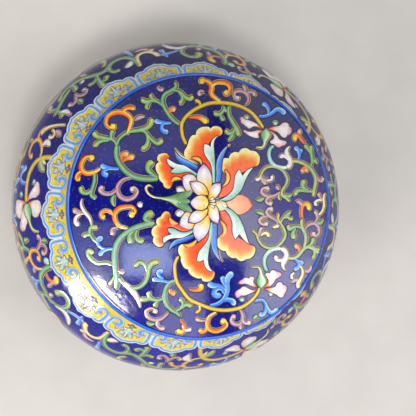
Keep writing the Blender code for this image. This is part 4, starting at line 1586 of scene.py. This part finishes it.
def with_painted_light(nodes, links, colour, middle, slope):
    """Painted light: a colour times a share that is middle on the jar's axis and changes by slope for each
    metre.
    """
    place = nodes.new("ShaderNodeTexCoord")
    along = nodes.new("ShaderNodeVectorMath")
    along.operation = "DOT_PRODUCT"
    along.inputs[1].default_value = (*slope, 0.0)
    links.new(place.outputs["Object"], along.inputs[0])
    share = nodes.new("ShaderNodeMath")
    share.operation = "ADD"
    share.inputs[1].default_value = middle
    links.new(along.outputs["Value"], share.inputs[0])
    return mixed(nodes, links, "MULTIPLY", 1.0, colour, share.outputs["Value"])


def finish(nodes, links, shader, colour, skin, roughness, coat=None):
    """The shader's colour, its gloss, the fine unevenness of its skin, and a clear coat over it.

    The skin is (features per metre, detail, strength, depth); a coat is (weight, roughness).
    """
    scale, detail, strength, depth = skin
    node = nodes.new("ShaderNodeBump")
    node.inputs["Strength"].default_value = strength
    node.inputs["Distance"].default_value = depth
    links.new(noise(nodes, links, scale, detail), node.inputs["Height"])
    links.new(node.outputs["Normal"], shader.inputs["Normal"])
    links.new(colour, shader.inputs["Base Color"])
    shader.inputs["Roughness"].default_value = roughness
    if coat:
        shader.inputs["Coat Weight"].default_value = coat[0]
        shader.inputs["Coat Roughness"].default_value = coat[1]


ENAMEL_ROUGHNESS = 0.14
LINE_ROUGHNESS = 0.34
# Painted light: the colours are brighter towards the front left, where the light falls, and duller towards
# the back, in painted shade.
SIDE_GLAZE_PAINTED_LIGHT = (1.22, (-2.0, -11.0))
LID_GLAZE_PAINTED_LIGHT = (0.97, (-3.5, -12.5))
LID_ENAMEL_PAINTED_LIGHT = (0.93, (-2.0, -4.8))


def cobalt_glaze(name, ior, coat, painted_light):
    """Deep blue glaze: pooled and thin patches, fine speckle, painted light that is brighter towards the
    front left, and the skin of a fired surface.
    """
    material, nodes, links, shader = new_material(name)
    clouds = ramp(nodes, links, noise(nodes, links, scale=90, detail=4, roughness=0.6),
                  ((0.30, linear((5, 7, 92))), (0.55, linear((9, 11, 112))),
                   (0.75, linear((20, 22, 130)))))
    # Painted light: the blue is brighter towards the front left and darker towards the back.
    clouds = with_painted_light(nodes, links, clouds, *painted_light)
    speckle = ramp(nodes, links, noise(nodes, links, scale=1500, detail=2, roughness=0.6),
                   ((0.60, (0, 0, 0)), (0.72, linear((96, 96, 132)))))
    colour = mixed(nodes, links, "ADD", 0.5, clouds, speckle)
    finish(nodes, links, shader, colour, skin=(420, 3, 0.05, 0.0004), roughness=0.08, coat=(coat, 0.04))
    shader.inputs["IOR"].default_value = ior
    return material


def enamel_material(name, roughness, painted_light=None):
    """Fired enamel: the stroke's own colour, washed a little unevenly, under a soft gloss, with painted
    light where it is given.
    """
    material, nodes, links, shader = new_material(name)
    paint = nodes.new("ShaderNodeAttribute")
    paint.attribute_name = "paint"
    wash = ramp(nodes, links, noise(nodes, links, scale=700, detail=3, roughness=0.55),
                ((0.3, (0.72, 0.72, 0.72)), (0.6, (0.92, 0.92, 0.92))))
    colour = mixed(nodes, links, "MULTIPLY", 0.9, paint.outputs["Color"], wash)
    # Painted light, where given: brighter towards the front left, darker towards the back.
    if painted_light:
        colour = with_painted_light(nodes, links, colour, *painted_light)
    finish(nodes, links, shader, colour, skin=(1600, 2, 0.08, 0.0002), roughness=roughness,
           coat=(0.3, 0.05))
    return material


def white_glaze():
    """Clear glaze on white porcelain, inside the jar and under its base."""
    material, nodes, links, shader = new_material("white_glaze")
    colour = ramp(nodes, links, noise(nodes, links, scale=120, detail=4, roughness=0.6),
                  ((0.3, linear((226, 230, 226))), (0.7, linear((242, 243, 238)))))
    finish(nodes, links, shader, colour, skin=(380, 3, 0.06, 0.0004), roughness=0.12, coat=(0.3, 0.05))
    return material


def bare_porcelain():
    """Fired porcelain with no glaze, slightly rough, where the foot ring stands."""
    material, nodes, links, shader = new_material("bare_porcelain")
    colour = ramp(nodes, links, noise(nodes, links, scale=900, detail=4, roughness=0.65),
                  ((0.3, linear((196, 188, 172))), (0.7, linear((224, 218, 204)))))
    finish(nodes, links, shader, colour, skin=(3000, 2, 0.3, 0.0002), roughness=0.72)
    return material


# ---------------------------------------------------------------- glazed bodies
AXIS_R = 1e-7                         # a station closer to the axis than this is a point on it
FLAT_SHARES = (0.7, 0.4, 0.2, 0.0)    # stations of a flat face, as shares of its radius
CROWN_SHARES = (0.85, 0.7, 0.5, 0.3, 0.15, 0)         # and of the lid's underside
GLAZE_END = (FOOT_R - GLAZE_INSET + 0.0003, 0.0018)     # the side's glaze stops here on the foot ring
RING_EDGE_Z = 0.0006                  # height at which the ring starts to round to the ground
RING_EDGE_W = 0.0008                  # how much narrower its ground face is, on each side
RING_INSIDE = ((FOOT_INNER_R + GLAZE_INSET, 0.0008), (FOOT_INNER_R, 0.0016))     # its inner side
LINING_START = 0.004                  # the wall's lining begins this far above the floor
LEDGE_SINK = 0.00005                  # the lining is this far below the ledge's face
LIP_RISE = 0.0001                     # the lid's lining begins this far above the lip's face
NECK_LIP_STEPS = 16
UNDER_EDGE_STEPS = 8
RECESS_STEPS = 6


def lathe(name, stations, material):
    """A turned skin through the stations, with a map laid out round it and along it."""
    stations = np.array(stations)
    angles = np.linspace(0, 2 * pi, SEGMENTS + 1)
    steps = np.diff(stations, axis=0)
    along = np.concatenate([[0], np.cumsum(np.hypot(steps[:, 0], steps[:, 1]))])
    spots = np.stack([stations[:, 0, None] * np.cos(angles), stations[:, 0, None] * np.sin(angles),
                      np.repeat(stations[:, 1, None], SEGMENTS + 1, 1)], -1)
    on_axis = stations[:, 0] < AXIS_R
    faces, uvs = [], []
    for i in range(len(stations) - 1):
        for j in range(SEGMENTS):
            corners = [(i, j), (i + 1, j), (i + 1, j + 1), (i, j + 1)]
            if on_axis[i]:
                corners = corners[:3]
            elif on_axis[i + 1]:
                corners = corners[:2] + corners[3:]
            # A row on the axis has one point, and the last column's points are the first's.
            faces.append([row * SEGMENTS + (0 if on_axis[row] else column % SEGMENTS)
                          for row, column in corners])
            uvs += [(angles[column] / (2 * pi), along[row] / along[-1]) for row, column in corners]
    used = sorted({corner for face in faces for corner in face})
    number = {corner: k for k, corner in enumerate(used)}
    faces = [[number[corner] for corner in face] for face in faces]
    return mesh_piece(name, spots[:, :-1].reshape(-1, 3)[used], faces, uvs, material)


def jar_lining():
    """The white inside of the jar, from the ledge over the neck's lip to the middle of the floor."""
    neck_inner_r = NECK_R - WALL
    lip_r = WALL / 2
    floor_z = BASE_RECESS + WALL
    inside = [tuple(SIDE.points[0]), (NECK_R + LIP_BEVEL, LEDGE[1] - LEDGE_SINK),
              (NECK_R, LEDGE[1] + LIP_BEVEL)]
    inside += arc((neck_inner_r + lip_r, NECK_TOP_Z - lip_r), lip_r, 0, 180, NECK_LIP_STEPS)
    inside += [(neck_inner_r, LEDGE[1] - INNER_ROUND)]
    wall = Turned(outer_side(), WALL).points
    inside += [tuple(p) for p in wall if floor_z + LINING_START < p[1] < LEDGE[1] - WALL]
    inside += [(FOOT_INNER_R, floor_z)]
    return inside + [(FOOT_INNER_R * share, floor_z) for share in FLAT_SHARES]


def lid_lining():
    """The white underside of the lid, from the lip to the middle."""
    inner_r = LID_LIP_R - LID_WALL
    under_z = LID_EDGE_Z - LID_TOP_T
    edge_r = inner_r - INNER_ROUND
    under = [tuple(LID.points[-1]), (LID_LIP_R - LIP_BEVEL - GLAZE_INSET, LID_LIP_Z + LIP_RISE),
             (inner_r + LIP_BEVEL, LID_LIP_Z), (inner_r, LID_LIP_Z + LIP_BEVEL)]
    under += arc((edge_r, under_z - INNER_ROUND), INNER_ROUND, 0, 90, UNDER_EDGE_STEPS)
    return under + [(edge_r * share, under_z + LID_CROWN * (1 - share ** 2)) for share in CROWN_SHARES]


def make_bodies(side_glaze, lid_glaze, white, bare):
    """The jar and the lid as glazed skins that stand for the two CAD nodes."""
    side = SIDE.points.tolist() + [(FOOT_TOP_R - GLAZE_INSET, FOOT_H), GLAZE_END]
    jar = lathe("jar_cobalt_side", side, side_glaze)
    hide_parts("jar")
    foot = [GLAZE_END, (FOOT_R - GLAZE_INSET, RING_EDGE_Z), (FOOT_R - RING_EDGE_W, 0.0),
            (FOOT_INNER_R + RING_EDGE_W, 0.0), *RING_INSIDE]
    lathe("jar_bare_foot_ring", foot, bare)
    base = [foot[-1], (FOOT_INNER_R, BASE_RECESS - INNER_ROUND)]
    corner = (FOOT_INNER_R - INNER_ROUND, BASE_RECESS - INNER_ROUND)
    base += arc(corner, INNER_ROUND, 0, 90, RECESS_STEPS)[1:]
    base += [(FOOT_INNER_R * share, BASE_RECESS) for share in FLAT_SHARES]
    lathe("jar_white_base", base, white)
    lathe("jar_white_lining", jar_lining(), white)
    lid = lathe("lid_cobalt_cap", LID.points.tolist(), lid_glaze)
    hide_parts("lid")
    lathe("lid_white_lining", lid_lining(), white)


# ---------------------------------------------------------------- camera and room
CAMERA_REACH = 0.48          # from the middle of the lid's edge plane to the camera
CAMERA_TILT = radians(10)    # the camera leans this far from the vertical, towards -X
LENS_MM = 136.87
SENSOR_MM = 36
AIM = (0.00231, -0.00046, LID_EDGE_Z)
JAR_MIDDLE = (0, 0, 0.075)
CEILING_Z = 1.3
FLOOR_HALF = 1.6             # half the width of the floor
WORLD_COLOUR = (0.80, 0.84, 0.90, 1)
WORLD_STRENGTH = 0.06

# Panels round the jar that face it: azimuth and elevation in degrees, reach, size, brightness, colour.
PANELS = (
    ("left_window", 215, 42, 1.1, (0.45, 0.30), 13, (1.0, 0.97, 0.93)),
    ("left_panel", 165, 36, 1.3, (0.7, 0.6), 2.2, (1, 1, 1)),
    ("back_panel", 80, 40, 1.3, (0.8, 0.6), 1.8, (1, 1, 1)),
    ("right_panel", 0, 40, 1.3, (0.7, 0.6), 1.6, (1, 1, 1)),
    ("front_panel", 285, 38, 1.3, (0.8, 0.6), 1.9, (1, 1, 1)),
)
# The table's glint of the window, low beside the jar: it gives the white glare on the shoulder.
LOW_WINDOW = (-0.144, -0.142, 0.0172)
LOW_WINDOW_SIZE = (0.066, 0.010)
LOW_WINDOW_RADIANCE = 26.0
LOW_WINDOW_COLOUR = (1.0, 0.98, 0.95)
SHOULDER_GLARE = (-0.036, -0.029, 0.0762)
# Softboxes overhead, each given by where the lid's top mirrors it to the camera: its middle and
# its size in lid radii, its turn in degrees, its brightness and its colour.
CEILING = (
    ("over_top_left", (-0.52, 0.49), (1.14, 0.47), 0, 0.85, (1.0, 0.98, 0.90)),
    ("over_top", (-0.45, 1.01), (1.30, 0.57), 0, 0.50, (1.0, 0.98, 0.90)),
    ("over_top_right", (0.77, 0.80), (1.06, 1.00), 0, 1.10, (1.0, 0.98, 0.92)),
    ("over_right", (0.30, 0.14), (0.44, 0.30), 0, 2.50, (1.0, 0.99, 0.98)),
    ("over_far_right", (0.91, 0.11), (0.78, 0.38), 0, 1.20, (1.0, 0.98, 0.94)),
    ("over_lotus", (0.08, 0.0), (0.09, 0.09), 0, 22.0, (1.0, 0.98, 0.95)),
    ("over_middle_right", (0.35, -0.19), (0.54, 0.35), 0, 3.90, (1.0, 1.0, 1.0)),
    ("over_far_middle", (0.96, -0.22), (0.68, 0.28), 0, 2.80, (1.0, 1.0, 0.98)),
    ("over_low_right", (0.83, -0.84), (0.96, 0.95), 0, 4.50, (1.0, 1.0, 1.0)),
    ("over_front", (-0.15, -0.92), (0.36, 0.74), 0, 2.70, (1.0, 0.99, 0.98)),
    ("over_blue", (-0.40, -0.39), (0.36, 0.24), 0, 6.20, (0.82, 0.97, 1.32)),
    ("over_low_left", (-0.95, -0.32), (0.72, 0.42), 0, 1.30, (0.96, 1.0, 1.08)),
    ("key_window", (-0.905, -0.755), (0.52, 0.50), 41, 46.0, (1.0, 0.98, 0.95)),
)
MIRROR_STEP = 0.1            # lid radii between the two mirrored spots that give a softbox its scale


def camera_spot():
    """Where the camera stands."""
    return np.array([-CAMERA_REACH * sin(CAMERA_TILT), 0, LID_EDGE_Z + CAMERA_REACH * cos(CAMERA_TILT)])


def set_camera():
    """The photograph's view, from nearly overhead, with the lid's far side up."""
    data = bpy.data.cameras.new("camera")
    data.lens = LENS_MM
    data.sensor_width = SENSOR_MM
    data.clip_start = 0.01
    data.dof.use_dof = False
    camera = bpy.data.objects.new("camera", data)
    bpy.context.scene.collection.objects.link(camera)
    spot = camera_spot()
    back = spot - np.array(AIM)
    back /= np.linalg.norm(back)
    right = np.cross([0.0, 1.0, 0.0], back)
    right /= np.linalg.norm(right)
    up = np.cross(back, right)
    camera.matrix_world = Matrix([[right[i], up[i], back[i], spot[i]] for i in range(3)]
                                 + [[0, 0, 0, 1]])
    bpy.context.scene.camera = camera


def softbox(name, spot, target, size, radiance, colour):
    """A softbox at spot that faces target; seen only by its light and its reflection."""
    data = bpy.data.lights.new(name, "AREA")
    data.shape = "RECTANGLE"
    data.size, data.size_y = size
    data.energy = radiance * pi * size[0] * size[1]
    data.color = colour
    light = bpy.data.objects.new(name, data)
    bpy.context.scene.collection.objects.link(light)
    light.location = spot
    light.rotation_euler = (Vector(target) - Vector(spot)).to_track_quat("-Z", "Y").to_euler()
    light.visible_camera = False
    return light


def panel_softbox(name, azimuth_deg, elevation_deg, reach, size, radiance, colour):
    """A panel that faces the jar from a direction."""
    azimuth, elevation = radians(azimuth_deg), radians(elevation_deg)
    spot = (reach * cos(elevation) * cos(azimuth), reach * cos(elevation) * sin(azimuth),
            JAR_MIDDLE[2] + reach * sin(elevation))
    softbox(name, spot, JAR_MIDDLE, size, radiance, colour)


def mirrored_on_ceiling(u, v):
    """The spot on the ceiling that the camera sees mirrored in the lid's top, (u, v) in lid radii."""
    edge = LID_R - LID_ROUND
    x, y = u * LID_R, v * LID_R
    spot = np.array([x, y, LID_EDGE_Z + LID_CROWN * (1 - (x * x + y * y) / edge ** 2)])
    normal = np.array([2 * LID_CROWN * x / edge ** 2, 2 * LID_CROWN * y / edge ** 2, 1.0])
    normal /= np.linalg.norm(normal)
    ray = spot - camera_spot()
    ray -= 2 * ray.dot(normal) * normal
    return spot + ray * (CEILING_Z - spot[2]) / ray[2]


def ceiling_softbox(name, middle, size, turn_deg, radiance, colour):
    """A rectangle that faces down from the ceiling, placed by its mirror image in the lid."""
    centre = mirrored_on_ceiling(*middle)
    beside = mirrored_on_ceiling(middle[0] + MIRROR_STEP, middle[1])
    per_unit = np.linalg.norm(beside - centre) / MIRROR_STEP
    light = softbox(name, centre, centre - np.array([0, 0, 1]), (size[0] * per_unit, size[1] * per_unit),
                    radiance, colour)
    light.rotation_euler = (0, 0, radians(turn_deg))


def set_floor():
    """A plain pale floor that the jar stands on."""
    mesh = bpy.data.meshes.new("floor")
    half = FLOOR_HALF
    mesh.from_pydata([(-half, -half, 0), (half, -half, 0), (half, half, 0), (-half, half, 0)], [],
                     [(0, 1, 2, 3)])
    material, nodes, links, shader = new_material("pale_floor")
    colour = ramp(nodes, links, noise(nodes, links, scale=60, detail=4),
                  ((0.3, linear((206, 202, 198))), (0.7, linear((212, 208, 204)))))
    links.new(colour, shader.inputs["Base Color"])
    shader.inputs["Roughness"].default_value = 0.8
    mesh.materials.append(material)
    floor = bpy.data.objects.new("floor", mesh)
    bpy.context.scene.collection.objects.link(floor)


def set_room():
    """Soft light from panels round the jar and overhead, over a pale floor."""
    bpy.context.scene.view_settings.view_transform = "Standard"
    world = bpy.data.worlds.new("studio")
    world.use_nodes = True
    background = world.node_tree.nodes["Background"]
    background.inputs["Color"].default_value = WORLD_COLOUR
    background.inputs["Strength"].default_value = WORLD_STRENGTH
    bpy.context.scene.world = world
    for row in PANELS:
        panel_softbox(*row)
    softbox("low_window", LOW_WINDOW, SHOULDER_GLARE, LOW_WINDOW_SIZE, LOW_WINDOW_RADIANCE,
            LOW_WINDOW_COLOUR)
    for row in CEILING:
        ceiling_softbox(*row)
    set_floor()


# ---------------------------------------------------------------- the scene
BODY_STEP_MM = 0.5           # the body's strokes have their points this far apart

set_camera()
set_room()
make_bodies(cobalt_glaze("cobalt_glaze_side", ior=1.30, coat=0.0, painted_light=SIDE_GLAZE_PAINTED_LIGHT),
            cobalt_glaze("cobalt_glaze_lid", ior=1.52, coat=0.35, painted_light=LID_GLAZE_PAINTED_LIGHT),
            white_glaze(), bare_porcelain())
# The lid's enamel is the raised enamel with painted light added: brighter towards the front left, darker
# towards the back.
lid_enamel = enamel_material("raised_enamel_lid", ENAMEL_ROUGHNESS, LID_ENAMEL_PAINTED_LIGHT)
enamel = enamel_material("raised_enamel", ENAMEL_ROUGHNESS)
lines = enamel_material("drawn_line_enamel", LINE_ROUGHNESS)

lid_painter = Painter("lid")
paint_lid(lid_painter)
paint_lid_wall(lid_painter)
lid_painter.build(lid_enamel, lines)

band_painter = Painter("shoulder")
paint_shoulder(band_painter)
band_painter.build(enamel, lines)

body_painter = Painter("body", BODY_STEP_MM)
paint_body(body_painter)
body_painter.build(enamel, lines)
